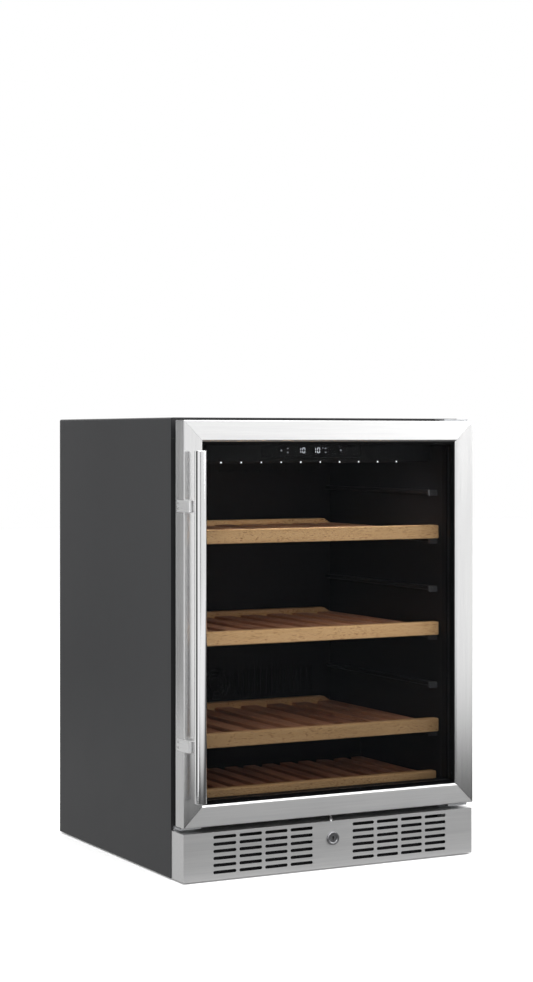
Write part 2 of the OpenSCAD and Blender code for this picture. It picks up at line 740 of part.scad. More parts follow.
// Screws through the lower hinge plates.
module hinge_screws(gap)
    both_sides() for (x = [hinge_x - 25, hinge_x - 5])
        translate([x, -low_plate_t, foam_low - 8]) {
            bar_y(1.8 + gap, low_plate_t - eps);
            translate([0, -head_t, 0]) bar_y(head_r + gap, head_t);
        }

module cabinet_screws() from_front() color("silver") {
    rear_screws(0);
    hinge_screws(0);
    for (z = [cover_low + 18, cavity_top - 20]) both_sides()
        translate([cavity_w - 16, cover_y - head_t, z]) bar_y(head_r, head_t);
}

// ---- Door ----

// Room for the handle straps in the side of the door.
module strap_pockets() for (z = strap_z)
    block([-half_w - 1, -half_w + strap_t + 0.2], [door_face - 1, strap_back + 0.2],
        [z - strap_h / 2 - 0.2, z + strap_h / 2 + 0.2]);

// Round holes for the hinge bushes, and one for the lock's bolt.
module door_holes() {
    for (z = [door_low - 1, door_high - bush_len - 0.2])
        translate([hinge_x, hinge_y, z]) cylinder(r = bush_r + 0.02, h = bush_len + 1.2);
    translate([lock_x, bolt_y, door_low - 1]) cylinder(r = bolt_r + 1, h = bolt_travel + 2);
}

module door_frame_top() color(steel) difference() {
    at_door() frame_top(frame_section);
    from_front() door_holes();
}
module door_frame_bottom() color(steel) difference() {
    at_door() frame_bottom(frame_section);
    from_front() door_holes();
}
module door_frame_left() color(steel) difference() {
    at_door() frame_left(frame_section);
    from_front() strap_pockets();
}
module door_frame_right() color(steel) at_door() frame_right(frame_section);

module door_core() color(black) difference() {
    at_door() frame_ring(core_section);
    from_front() {
        strap_pockets();
        door_holes();
        strap_screws(screw_gap);
    }
}

module pane(depth) at_door()
    translate([0, depth + glass_t / 2, 0])
        cube([cabinet_w - 2 * glass_edge, glass_t, door_h - 2 * glass_edge], center = true);
module outer_glass() color(clear) pane(glass_setback);
module inner_glass() color(clear) pane(unit_back - glass_t);
module glass_spacer() color("silver") at_door() frame_ring(spacer_section);
module door_liner() color(black) at_door() frame_ring(liner_section);
module door_gasket() color("#2a2b2d") at_door() frame_ring(gasket_section);

module hinge_bushes() from_front() color("ivory") for (low = [true, false]) difference() {
    translate([hinge_x, hinge_y, low ? door_low + 0.1 : door_high - bush_len - 0.1])
        cylinder(r = bush_r, h = bush_len);
    translate([hinge_x, hinge_y, low ? door_low - 1 : door_high - bush_len + 1.9])
        cylinder(r = pin_r + running_gap, h = bush_len - 1);
}

// ---- Handle ----

module handle_bar() from_front() color(steel) difference() {
    translate([handle_x, handle_y, handle_low]) cylinder(d = handle_dia, h = handle_len);
    for (z = strap_z) translate([handle_x, handle_y, z])
        bar_y(strap_stub_r + running_gap, handle_dia);
}

module strap_screws(gap) for (z = strap_z, side = [-1, 1])
    translate([-half_w, strap_back - 5, z + side * strap_h / 4]) rotate([0, 90, 0]) {
        cylinder(r = strap_head_r + gap, h = 1.2 + gap);
        cylinder(r = strap_shank_r + gap, h = 14 + gap);
    }

// Flat straps let into the side of the door. Each turns behind the bar, where
// a round stub enters it.
module handle_straps() from_front() color(steel) {
    leg_y = handle_y + handle_dia / 2 + seat_gap;
    difference() {
        for (z = strap_z) {
            height = [z - strap_h / 2, z + strap_h / 2];
            block([-half_w, -half_w + strap_t], [leg_y, strap_back], height);
            block([-half_w, handle_x + strap_stub_r + 4], [leg_y, leg_y + strap_t], height);
            translate([handle_x, handle_y + 1, z]) bar_y(strap_stub_r, leg_y - handle_y);
        }
        strap_screws(screw_gap);
    }
    strap_screws(0);
}

// ---- Shelves ----

function is_low(n) = n == 4;
function shelf_depth(n) = is_low(n) ? low_shelf_d : shelf_d;
function board_low(n) = shelf_z[n - 1] + shelf_play;
function deck_top(n) = board_low(n) + board_h - slat_drop;
function board_front(n) = -board_overhang + (is_low(n) ? low_setback : 0);
function shelf_back(n) = board_front(n) + shelf_depth(n);

module front_board(n) from_front() color(beech)
    block([-shelf_w / 2, shelf_w / 2], [board_front(n), board_front(n) + board_t],
        [board_low(n), board_low(n) + board_h]);

// Slats run from the front board to the back, over the cross bars.
module slats(n) from_front() color(stained) {
    w = is_low(n) ? low_slat_w : slat_w;
    pitch = is_low(n) ? low_slat_pitch : slat_pitch;
    count = floor((shelf_w - w) / pitch) + 1;
    front = board_front(n) + board_t;
    back = shelf_back(n) - (is_low(n) ? 0 : board_t);
    for (i = [0:count - 1])
        translate([(i - (count - 1) / 2) * pitch - w / 2, front, deck_top(n) - slat_t])
            cube([w, back - front - eps, slat_t]);
}

// Cross bars under the slats, with a raised stop board behind a full shelf.
module bars(n) from_front() color(beech) {
    front = board_front(n) + board_t + 8;
    back = shelf_back(n);
    last = back - (is_low(n) ? 0 : board_t);
    count = is_low(n) ? 2 : 3;
    for (i = [0:count - 1])
        translate([-shelf_w / 2, front + i * (last - bar_w - 1 - front) / (count - 1), board_low(n)])
            cube([shelf_w, bar_w, deck_top(n) - slat_t - board_low(n)]);
    if (!is_low(n))
        translate([0, back, board_low(n)]) rotate([90, 0, 0]) linear_extrude(board_t)
            polygon([[-shelf_w / 2, 0], [shelf_w / 2, 0], [shelf_w / 2, board_h * 0.4],
                [shelf_w / 2 - 23, board_h], [-shelf_w / 2 + 23, board_h], [-shelf_w / 2, board_h * 0.4]]);
}

// ---- Feet ----

module foot(x, y) from_front() color(black) translate([x, y, 0]) {
    cylinder(r = foot_r, h = foot_pad * 0.6);
    cylinder(r = foot_r * 0.7, h = foot_pad);
    cylinder(r = stem_r, h = stem_len);
}

outer_casing();
back_panel();
rear_cover();
base_pan();
front_flange();
insulation_foam();
inner_liner();
shelf_rails();
evaporator_cover();
evaporator_coil();
evaporator_fan_frame();
evaporator_fan_blades();
control_housing();
display_window();
control_board();
led_strip();
compressor();
compressor_mount();
condenser_coil();
condenser_fan_frame();
condenser_fan_blades();
drain_pan();
refrigerant_pipe();
power_inlet();
plinth_grille();
lock_housing();
lock_cylinder();
lock_bolt();
hinge_brackets();
cabinet_screws();
door_frame_top();
door_frame_bottom();
door_frame_left();
door_frame_right();
door_core();
outer_glass();
inner_glass();
glass_spacer();
door_liner();
door_gasket();
hinge_bushes();
handle_bar();
handle_straps();
front_board(1);  // shelf_1_front_board
slats(1);  // shelf_1_slats
bars(1);  // shelf_1_bars
front_board(2);  // shelf_2_front_board
slats(2);  // shelf_2_slats
bars(2);  // shelf_2_bars
front_board(3);  // shelf_3_front_board
slats(3);  // shelf_3_slats
bars(3);  // shelf_3_bars
front_board(4);  // shelf_4_front_board
slats(4);  // shelf_4_slats
bars(4);  // shelf_4_bars
foot(-foot_x, foot_front_y);  // front_foot_left
foot(foot_x, foot_front_y);  // front_foot_right
foot(-foot_x, foot_rear_y);  // rear_foot_left
foot(foot_x, foot_rear_y);  // rear_foot_right
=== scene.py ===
# %% [markdown]
# # A wine cooler with a glass door
#
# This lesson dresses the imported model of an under-counter wine cooler: a dark steel
# cabinet, a mitred stainless door with tinted glass, four wooden shelves and a slotted
# plinth. Lengths are in metres. The front faces -Y, the width runs along X, and Z is up.
# Every place and size is read from the frame, so the pieces follow the design.

# %% Load the frame
import math

import bmesh
import bpy
from mathutils import Matrix, Vector


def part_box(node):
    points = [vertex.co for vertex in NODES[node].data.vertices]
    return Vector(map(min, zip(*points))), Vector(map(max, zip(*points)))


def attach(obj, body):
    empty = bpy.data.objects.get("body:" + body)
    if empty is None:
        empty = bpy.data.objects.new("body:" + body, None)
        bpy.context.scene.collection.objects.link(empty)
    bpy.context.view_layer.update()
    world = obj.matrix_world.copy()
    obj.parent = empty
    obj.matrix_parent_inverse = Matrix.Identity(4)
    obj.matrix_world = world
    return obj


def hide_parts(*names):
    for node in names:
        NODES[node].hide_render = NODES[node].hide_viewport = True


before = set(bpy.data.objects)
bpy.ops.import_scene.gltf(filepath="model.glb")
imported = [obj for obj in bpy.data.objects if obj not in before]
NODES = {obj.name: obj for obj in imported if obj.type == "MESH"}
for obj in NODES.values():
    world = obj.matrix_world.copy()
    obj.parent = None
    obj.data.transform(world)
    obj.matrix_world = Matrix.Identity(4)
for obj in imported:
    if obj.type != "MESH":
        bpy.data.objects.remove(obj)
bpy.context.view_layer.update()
MM = 0.001

# %% [markdown]
# ## Places that several pieces share
#
# The door's face, its edges and the cavity's sides are used again and again, so they are
# taken from the boxes of the parts that own them and given a maker's name once.

# %% Shared places
casing_low, casing_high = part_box("outer_casing")
bottom_member_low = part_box("door_frame_bottom")[0]
top_member_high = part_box("door_frame_top")[1]
left_member_low, left_member_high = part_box("door_frame_left")
pane_low, pane_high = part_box("outer_glass")
back_pane_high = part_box("inner_glass")[1]

half_width = casing_high[0]
door_face = bottom_member_low[1]
door_low, door_high = bottom_member_low[2], top_member_high[2]
door_height = door_high - door_low
door_middle = (door_low + door_high) / 2
member_width = left_member_high[0] - left_member_low[0]
member_depth = left_member_high[1] - left_member_low[1]
pane_front = pane_low[1] - door_face
pane_edge = half_width - pane_high[0]
sheet = 1.2 * MM
print("door member:", round(member_width / MM, 1), "mm wide,", round(member_depth / MM, 1), "mm deep")

# %% [markdown]
# ## Node trees written as sums
#
# A finish is easier to read as arithmetic than as wires. `Value` wraps a socket, and each
# operator adds a Math node to its tree. `Tree.add` makes any other node: its settings
# come first, then the values or links of its sockets.


# %% The node helpers
class Value:
    """A node's output that takes part in Python arithmetic."""

    def __init__(self, tree, socket):
        self.tree = tree
        self.socket = socket

    def _math(self, operation, first, second):
        return self.tree.add("ShaderNodeMath", {"operation": operation}, {0: first, 1: second})

    def __add__(self, other):
        return self._math("ADD", self, other)

    def __radd__(self, other):
        return self._math("ADD", other, self)

    def __sub__(self, other):
        return self._math("SUBTRACT", self, other)

    def __rsub__(self, other):
        return self._math("SUBTRACT", other, self)

    def __mul__(self, other):
        return self._math("MULTIPLY", self, other)

    def __rmul__(self, other):
        return self._math("MULTIPLY", other, self)


class Tree:
    """Adds nodes to a node tree, one call for each."""

    def __init__(self, node_tree):
        self.nodes = node_tree.nodes
        self.links = node_tree.links

    def add(self, kind, settings=None, inputs=None, output=0):
        node = self.nodes.new(kind)
        for name, value in (settings or {}).items():
            if name == "stops":
                self._set_stops(node.color_ramp, value)
            else:
                setattr(node, name, value)
        for key, value in (inputs or {}).items():
            self.feed(node.inputs[key], value)
        return Value(self, node.outputs[output])

    def _set_stops(self, ramp, stops):
        while len(ramp.elements) < len(stops):
            ramp.elements.new(1.0)
        for element, (place, colour) in zip(ramp.elements, stops):
            element.position = place
            element.color = colour

    def feed(self, socket, value):
        if isinstance(value, Value):
            self.links.new(value.socket, socket)
        else:
            socket.default_value = value

    def blend(self, factor, first, second):
        """Mixes two colours."""
        sockets = {0: factor, 6: first, 7: second}
        return self.add("ShaderNodeMix", {"data_type": "RGBA"}, sockets, output=2)


# %% [markdown]
# ## Finishes
#
# Each finish starts from one Principled shader. Its constants are set on the sockets, and
# only colour, roughness and the bump that feeds the normal change over the surface. All
# patterns read Object coordinates, which are the cooler's own metres.


# %% Make a finish
def rgba(red, green, blue):
    return (red, green, blue, 1.0)


class Finish:
    """A material with one Principled shader and patterns in the cooler's own metres."""

    def __init__(self, name, colour, roughness, **constants):
        self.material = bpy.data.materials.new(name)
        self.material.use_nodes = True
        self.tree = Tree(self.material.node_tree)
        self.shader = self.material.node_tree.nodes["Principled BSDF"]
        self.shader.inputs["Base Color"].default_value = colour
        self.shader.inputs["Roughness"].default_value = roughness
        for socket, value in constants.items():
            self.shader.inputs[socket.replace("_", " ")].default_value = value
        self.place = self.tree.add("ShaderNodeTexCoord", output="Object")
        FINISHES[name] = self.material

    def stretched(self, scale):
        """Object coordinates scaled by a vector, so a noise can run along one axis."""
        return self.tree.add("ShaderNodeMapping", inputs={"Vector": self.place, "Scale": scale})

    def noise(self, scale, detail=3.0, size=1.0, rough=0.55, warp=0.0):
        sockets = {"Vector": self.stretched(scale), "Scale": size, "Detail": detail}
        sockets.update({"Roughness": rough, "Distortion": warp})
        return self.tree.add("ShaderNodeTexNoise", inputs=sockets)

    def steps(self, value, low, high):
        """Turns a value into a mask that rises from low to high."""
        sockets = {"Value": value, "From Min": low, "From Max": high}
        return self.tree.add("ShaderNodeMapRange", inputs=sockets)

    def feed(self, socket, value):
        self.tree.feed(self.shader.inputs[socket], value)

    def bump(self, height, distance, strength=1.0):
        sockets = {"Height": height, "Distance": distance, "Strength": strength}
        self.feed("Normal", self.tree.add("ShaderNodeBump", inputs=sockets))


FINISHES = {}

# %% [markdown]
# ### Steel
#
# Brushed stainless has fine scratches along one direction only. A noise that is squeezed
# across the grain and drawn out along it gives lines a fraction of a millimetre apart.
# The lines change the roughness, the tone and the bump together, as real brushing does.


# %% Brushed, polished and coated steel
def brushed_steel(name, grain, tone=0.81, gloss=0.12):
    """Stainless with brushing along the axis whose number is grain."""
    finish = Finish(name, rgba(tone, tone, tone), 0.3, Metallic=1.0)
    across, along = 2600.0, 14.0
    fine = finish.noise([along if i == grain else across for i in range(3)], detail=2.0)
    wide = finish.noise([along / 4 if i == grain else across / 14 for i in range(3)], detail=2.0)
    cloud = finish.noise((5.0, 5.0, 5.0), detail=2.0)
    lines = fine * 0.6 + wide * 0.4
    finish.feed("Roughness", gloss + lines * 0.12 + cloud * 0.05)
    dark = rgba(tone * 0.93, tone * 0.93, tone * 0.935)
    bright = rgba(tone * 1.05, tone * 1.05, tone * 1.045)
    finish.feed("Base Color", finish.tree.blend(finish.steps(lines, 0.32, 0.68), dark, bright))
    finish.bump(lines, 0.00005, 0.6)
    return finish.material


def polished_steel(name, tone=0.86):
    """Stainless with a turned polish: faint rings of wear and soft smudges."""
    finish = Finish(name, rgba(tone, tone, tone), 0.12, Metallic=1.0)
    smudge = finish.noise((30.0, 30.0, 12.0), detail=4.0)
    turning = finish.noise((40.0, 40.0, 3000.0), detail=1.0)
    finish.feed("Roughness", 0.05 + smudge * 0.05 + turning * 0.04)
    worn = rgba(tone * 0.93, tone * 0.93, tone * 0.94)
    finish.feed("Base Color", finish.tree.blend(smudge, rgba(tone, tone, tone), worn))
    finish.bump(turning, 0.00001, 0.3)
    return finish.material


def coated_steel(name, colour, roughness, pebble=0.00006, shine=0.5):
    """Baked paint: a fine orange peel and a faint cloudiness in its gloss."""
    finish = Finish(name, rgba(*colour), roughness, Specular_IOR_Level=shine)
    peel = finish.noise((900.0, 900.0, 900.0), detail=3.0)
    cloud = finish.noise((6.0, 6.0, 6.0), detail=3.0)
    finish.feed("Roughness", roughness - 0.06 + cloud * 0.12)
    paler = rgba(*[min(1.0, c * 1.16 + 0.002) for c in colour])
    finish.feed("Base Color", finish.tree.blend(cloud * 0.7 + peel * 0.3, rgba(*colour), paler))
    finish.bump(peel, pebble, 0.6)
    return finish.material


STEEL_ACROSS = brushed_steel("brushed_steel_across", 0, gloss=0.3)
STEEL_UPRIGHT = brushed_steel("brushed_steel_upright", 2)
STEEL_STRAP = brushed_steel("brushed_steel_strap", 1, tone=0.93, gloss=0.2)
POLISHED = polished_steel("polished_steel")
CASING_PAINT = coated_steel("casing_paint", (0.015, 0.0155, 0.017), 0.36, shine=0.3)
# Black paint, also put on the base pan as painted shade behind the plinth slots.
BLACK_PAINT_AND_SHADE = coated_steel("black_paint", (0.012, 0.012, 0.013), 0.5)
print("steel finishes:", sorted(FINISHES))

# %% [markdown]
# ### Zinc, copper and aluminium
#
# Hidden sheet and pipework has mill finishes. Zinc shows large soft crystals, which a
# Voronoi pattern gives in one node. Copper and aluminium get cloudy oxide.


# %% Plain metals
def zinc_sheet(name):
    finish = Finish(name, rgba(0.5, 0.51, 0.52), 0.4, Metallic=0.9)
    sockets = {"Vector": finish.stretched((160.0, 160.0, 160.0))}
    crystal = finish.tree.add("ShaderNodeTexVoronoi", inputs=sockets, output="Distance")
    finish.feed("Roughness", 0.3 + crystal * 0.25)
    finish.feed("Base Color", finish.tree.blend(crystal, rgba(0.6, 0.61, 0.62), rgba(0.42, 0.43, 0.45)))
    return finish.material


def mill_metal(name, fresh, dull, roughness):
    finish = Finish(name, rgba(*fresh), roughness, Metallic=1.0)
    cloud = finish.noise((70.0, 70.0, 70.0), detail=5.0)
    finish.feed("Base Color", finish.tree.blend(cloud, rgba(*fresh), rgba(*dull)))
    finish.feed("Roughness", roughness - 0.08 + cloud * 0.2)
    finish.bump(cloud, 0.00005, 0.4)
    return finish.material


ZINC = zinc_sheet("zinc_sheet")
COPPER = mill_metal("copper_tube", (0.78, 0.44, 0.3), (0.5, 0.27, 0.18), 0.32)
ALUMINIUM = mill_metal("spacer_aluminium", (0.82, 0.83, 0.84), (0.66, 0.67, 0.68), 0.3)
LOCK_STEEL = mill_metal("lock_steel", (0.34, 0.34, 0.35), (0.22, 0.22, 0.23), 0.3)
SCREW_STEEL = mill_metal("plated_screw", (0.75, 0.75, 0.74), (0.5, 0.5, 0.5), 0.25)

# %% [markdown]
# ### Plastics, rubber and foam
#
# Moulded parts share one recipe: a fine grain for the tool's texture and a slow change in
# gloss. Rubber is the same with a coarser grain and almost no shine.


# %% Moulded finishes
def moulded(name, colour, roughness, grain=1400.0, depth=0.00003, shine=0.5):
    finish = Finish(name, rgba(*colour), roughness, Specular_IOR_Level=shine)
    texture = finish.noise((grain, grain, grain), detail=2.0)
    cloud = finish.noise((9.0, 9.0, 9.0), detail=2.0)
    finish.feed("Roughness", roughness - 0.05 + cloud * 0.1)
    paler = rgba(*[min(1.0, c * 1.22 + 0.001) for c in colour])
    finish.feed("Base Color", finish.tree.blend(texture * 0.5 + cloud * 0.5, rgba(*colour), paler))
    finish.bump(texture, depth, 0.5)
    return finish.material


LINER_BLACK = moulded("liner_black", (0.0055, 0.0055, 0.006), 0.5, shine=0.3)
TRIM_BLACK = moulded("trim_black", (0.005, 0.005, 0.0055), 0.5, shine=0.15)
GLOSS_BLACK = moulded("display_black", (0.0062, 0.0062, 0.0068), 0.2, depth=0.000004, shine=0.2)
# The same dark rubber is put on the sheets behind the plinth slots as painted shade.
RUBBER_AND_SHADE = moulded("gasket_rubber", (0.008, 0.008, 0.009), 0.72, 900.0, 0.00006, shine=0.1)
BORDER_BLACK = moulded("printed_border", (0.002, 0.002, 0.0022), 0.3, depth=0.000004, shine=0.05)
# Pale grey: the spacer holes' own grey, and a painted highlight on the rail ends.
GREY_AND_RAIL_HIGHLIGHT = moulded("cap_grey", (0.075, 0.078, 0.083), 0.38)
WHITE_PLASTIC = moulded("white_plastic", (0.7, 0.7, 0.66), 0.4)
NYLON = moulded("nylon_bush", (0.74, 0.7, 0.56), 0.45)
FOAM = moulded("rigid_foam", (0.8, 0.73, 0.5), 0.85, grain=500.0, depth=0.0004)
BOARD_GREEN = moulded("circuit_board", (0.02, 0.12, 0.05), 0.35)

# %% [markdown]
# ### Glass and lights
#
# The panes are tinted, so they darken what lies behind them. A dark colour at a low alpha
# does that in every renderer, and keeps the mirror of the room faint. A light's glow
# varies a little over its lens, by a fine noise.


# %% Glass and lamps
def tinted_glass(name, alpha):
    finish = Finish(name, rgba(0.004, 0.0045, 0.005), 0.03, IOR=1.45,
                    Specular_IOR_Level=0.05)
    film = finish.noise((4.0, 4.0, 4.0), detail=2.0)
    finish.feed("Roughness", 0.02 + film * 0.02)
    finish.feed("Alpha", alpha - 0.01 + film * 0.02)
    return finish.material


def lamp(name, colour, strength):
    finish = Finish(name, rgba(*colour), 0.3, Emission_Strength=strength)
    glow = finish.noise((220.0, 220.0, 220.0), detail=1.0)
    dim = rgba(*[c * 0.8 for c in colour])
    finish.feed("Emission Color", finish.tree.blend(glow, rgba(*colour), dim))
    return finish.material


OUTER_GLASS = tinted_glass("outer_pane", 0.14)
INNER_GLASS = tinted_glass("inner_pane", 0.1)
LED_WHITE = lamp("led_white", (0.9, 0.95, 1.0), 3.0)
DIGIT_WHITE = lamp("digit_white", (0.85, 0.9, 1.0), 1.2)
ICON_DIM = lamp("icon_dim", (0.6, 0.66, 0.75), 0.25)

# %% [markdown]
# ### Wood
#
# The boards are beech, which is known by short dark flecks along the grain. The slats are
# stained darker and redder. One recipe makes both: long noise for the growth lines, a
# finer one for the pores, and flecks where a third passes a limit. An attribute that each
# plank carries shifts its tone, so that no two slats match.


# %% Wood
def wood(name, grain, pale, deep, fleck, fleck_amount=0.5):
    """Planks whose grain runs along the axis whose number is grain."""
    finish = Finish(name, rgba(*pale), 0.5)
    lines = finish.noise([5.0 if i == grain else 130.0 for i in range(3)], detail=5.0, warp=0.6)
    pores = finish.noise([30.0 if i == grain else 1100.0 for i in range(3)], detail=2.0)
    spots = finish.noise([170.0 if i == grain else 700.0 for i in range(3)], detail=1.0)
    tone = finish.tree.add("ShaderNodeAttribute", {"attribute_name": "plank_tone"}, output="Fac")
    body = finish.tree.blend(finish.steps(lines + tone * 0.3, 0.35, 0.95), rgba(*pale), rgba(*deep))
    pored = finish.tree.blend(finish.steps(pores, 0.5, 0.75) * 0.35, body, rgba(*deep))
    flecks = finish.steps(spots, 0.6, 0.68) * fleck_amount
    finish.feed("Base Color", finish.tree.blend(flecks, pored, rgba(*fleck)))
    finish.feed("Roughness", 0.42 + pores * 0.2)
    finish.bump(pores * 0.7 + lines * 0.3, 0.00012, 0.5)
    return finish.material


BEECH = wood("beech_board", 0, (0.84, 0.53, 0.25), (0.66, 0.38, 0.16), (0.36, 0.16, 0.06), 0.8)
STAINED = wood("stained_slat", 1, (0.8, 0.4, 0.22), (0.3, 0.12, 0.065), (0.2, 0.08, 0.045), 0.3)
print("finishes in all:", len(FINISHES))

# %% [markdown]
# ## Shape helpers
#
# A finished piece sits at the origin with its place in its mesh. `piece` builds such an
# object, marks edges sharper than an angle, and gives it its finish, its body and the
# design parts it stands for.


# %% Make a piece
def shade(mesh, sharp_angle=32.0):
    """Smooth faces that meet gently, with a crease at sharp angles and round broad flats."""
    shape = bmesh.new()
    shape.from_mesh(mesh)
    gentle, much_wider = math.radians(1.0), 6
    for edge in shape.edges:
        turn = edge.calc_face_angle(math.pi)
        areas = [face.calc_area() for face in edge.link_faces]
        flat_rim = turn > gentle and max(areas) > much_wider * min(areas)
        edge.smooth = turn < math.radians(sharp_angle) and not flat_rim
    for face in shape.faces:
        face.smooth = True
    shape.to_mesh(mesh)
    shape.free()


def piece(name, mesh, material, body, replaces=()):
    obj = bpy.data.objects.new(name, mesh)
    bpy.context.scene.collection.objects.link(obj)
    mesh.materials.clear()
    mesh.materials.append(material)
    shade(mesh)
    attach(obj, body)
    if replaces:
        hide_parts(*replaces)
    return obj


def mesh_from(name, points, faces):
    """A closed mesh whose faces are turned outwards."""
    mesh = bpy.data.meshes.new(name)
    mesh.from_pydata([tuple(p) for p in points], [], faces)
    shape = bmesh.new()
    shape.from_mesh(mesh)
    bmesh.ops.remove_doubles(shape, verts=shape.verts, dist=1e-7)
    bmesh.ops.recalc_face_normals(shape, faces=shape.faces)
    shape.to_mesh(mesh)
    shape.free()
    return mesh


def rounded(corners, radius, steps=5):
    """A closed outline with each corner turned into an arc, or kept where radius is 0."""
    outline = []
    for i, corner in enumerate(corners):
        here = Vector(corner[:2])
        r = corner[2] if len(corner) > 2 else radius
        if r <= 0:
            outline.append(here)
            continue
        before = (Vector(corners[i - 1][:2]) - here).normalized()
        after = (Vector(corners[(i + 1) % len(corners)][:2]) - here).normalized()
        half = before.angle(after) / 2
        centre = here + (before + after).normalized() * (r / math.sin(half))
        start = here + before * (r / math.tan(half)) - centre
        end = here + after * (r / math.tan(half)) - centre
        sweep = math.atan2(start.x * end.y - start.y * end.x, start.dot(end))
        for k in range(steps + 1):
            outline.append(centre + Matrix.Rotation(sweep * k / steps, 2) @ start)
    return outline


# %% [markdown]
# ### Extruded, turned and mitred shapes
#
# Three ways of making cover most of the metalwork: an outline pushed along an axis with
# eased edges, a profile turned round an axis, and a section that runs along a side of the
# door and is cut at 45 degrees at both ends.


# %% The three ways of making
def prisms(name, outlines, axis, start, end):
    """Pushes outlines, given on the two other axes in order, along one axis."""
    others = [i for i in range(3) if i != axis]
    points, faces = [], []
    for outline in outlines:
        first, n = len(points), len(outline)
        for depth in (start, end):
            for p in outline:
                point = [0.0, 0.0, 0.0]
                point[axis] = depth
                point[others[0]], point[others[1]] = p
                points.append(point)
        ring = [first + i for i in range(n)]
        faces += [ring, [i + n for i in reversed(ring)]]
        faces += [[i, n + i, n + j, j] for i, j in zip(ring, ring[1:] + ring[:1])]
    return mesh_from(name, points, faces)


def extruded(name, outline, axis, start, end, ease=0.0):
    """One prism, with its sharp edges eased where ease is not 0."""
    mesh = prisms(name, [outline], axis, start, end)
    return eased(mesh, ease) if ease else mesh


def eased(mesh, width, segments=2, angle=50.0):
    """Rounds every edge that is sharper than an angle."""
    shape = bmesh.new()
    shape.from_mesh(mesh)
    limit = math.radians(angle)
    edges = [e for e in shape.edges if len(e.link_faces) == 2 and e.calc_face_angle() > limit]
    options = {"offset": width, "segments": segments, "profile": 0.5, "clamp_overlap": True}
    bmesh.ops.bevel(shape, geom=edges, affect="EDGES", **options)
    shape.to_mesh(mesh)
    shape.free()
    return mesh


def turned(name, profile, base, axis, segments=64, ring=False):
    """Turns a profile of (radius, distance) pairs round an axis that starts at base.

    A ring's profile is a closed loop that stays clear of the axis, so it has no ends.
    """
    direction = Vector([float(i == axis) for i in range(3)])
    side = Vector([float(i == (axis + 1) % 3) for i in range(3)])
    other = direction.cross(side)
    profile = profile + profile[:1] if ring else profile
    points, faces = [], []
    for radius, along in profile:
        for k in range(segments):
            angle = 2 * math.pi * k / segments
            spoke = side * math.cos(angle) + other * math.sin(angle)
            points.append(Vector(base) + direction * along + spoke * radius)
    last = (len(profile) - 1) * segments
    for start in range(0, last, segments):
        for k in range(segments):
            a, b = start + k, start + (k + 1) % segments
            faces.append([a, b, b + segments, a + segments])
    if not ring:
        faces += [list(range(segments)), [last + k for k in reversed(range(segments))]]
    return mesh_from(name, points, faces)


SIDES = ("bottom", "right", "top", "left")


def on_door(side, run, inward, depth, half_w, half_h):
    """A place on one side of the door, from run along it, inward from its edge, and depth."""
    across = {
        "bottom": (run, inward - half_h),
        "top": (-run, half_h - inward),
        "left": (inward - half_w, -run),
        "right": (half_w - inward, run),
    }[side]
    return Vector((across[0], door_face + depth, door_middle + across[1]))


def mitred(name, sections, sides=SIDES, gap=0.15 * MM):
    """Members with a closed section of (inward, depth) points, cut at 45 degrees."""
    points, faces = [], []
    half_w, half_h = half_width, door_height / 2
    for side in sides:
        length = half_w if side in ("bottom", "top") else half_h
        first, n = len(points), len(sections)
        for end in (-1, 1):
            for inward, depth in sections:
                run = end * (length - inward - gap)
                points.append(on_door(side, run, inward, depth, half_w, half_h))
        faces.append([first + i for i in range(n)])
        faces.append([first + 2 * n - 1 - i for i in range(n)])
        for i in range(n):
            j = (i + 1) % n
            faces.append([first + i, first + n + i, first + n + j, first + j])
    return mesh_from(name, points, faces)


# %% [markdown]
# ### Rounding a design part
#
# Sheet and moulded parts whose shape is already right only lack the small radius that
# catches the light. The copy is merged first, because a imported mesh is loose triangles,
# then its flat faces are joined again and its edges are rounded.


# %% Ease a design part
def eased_copy(name, node, width, material, body, segments=2):
    mesh = NODES[node].data.copy()
    mesh.name = name
    for layer in list(mesh.uv_layers):
        mesh.uv_layers.remove(layer)
    shape = bmesh.new()
    shape.from_mesh(mesh)
    bmesh.ops.remove_doubles(shape, verts=shape.verts, dist=1e-6)
    bmesh.ops.dissolve_limit(
        shape, angle_limit=math.radians(0.6), verts=shape.verts, edges=shape.edges
    )
    shape.to_mesh(mesh)
    shape.free()
    mesh.validate()
    return piece(name, eased(mesh, width, segments), material, body, [node])


# %% [markdown]
# ## Geometry Nodes recipes
#
# What repeats is grown from a recipe with named sizes. A modifier's inputs are set by
# their identifiers before the object is evaluated. The recipe ends by realizing its
# instances and setting the finish, and the result is taken out as a plain mesh.


# %% The recipe helpers
SOCKETS = {float: "NodeSocketFloat", int: "NodeSocketInt", "material": "NodeSocketMaterial"}


class Recipe(Tree):
    """A Geometry Nodes tree with named sizes."""

    def __init__(self, name, **sizes):
        self.group = bpy.data.node_groups.new(name, "GeometryNodeTree")
        super().__init__(self.group)
        interface = self.group.interface
        interface.new_socket("Points", in_out="INPUT", socket_type="NodeSocketGeometry")
        for size, kind in sizes.items():
            interface.new_socket(size, in_out="INPUT", socket_type=SOCKETS[kind])
        interface.new_socket("Finish", in_out="INPUT", socket_type=SOCKETS["material"])
        interface.new_socket("Shape", in_out="OUTPUT", socket_type="NodeSocketGeometry")
        source = self.nodes.new("NodeGroupInput")
        self.size = {s.name: Value(self, s) for s in source.outputs if s.name}

    def on_points(self, shape, **turned):
        """Sets a copy of a shape on every point."""
        sockets = {"Points": self.size["Points"], "Instance": shape, **turned}
        return self.add("GeometryNodeInstanceOnPoints", inputs=sockets)

    def serve(self, shape):
        """Realizes the instances, sets the finish and sends the result out."""
        real = self.add("GeometryNodeRealizeInstances", inputs={"Geometry": shape})
        sockets = {"Geometry": real, "Material": self.size["Finish"]}
        done = self.add("GeometryNodeSetMaterial", inputs=sockets)
        sink = self.nodes.new("NodeGroupOutput")
        self.links.new(done.socket, sink.inputs["Shape"])
        return self.group


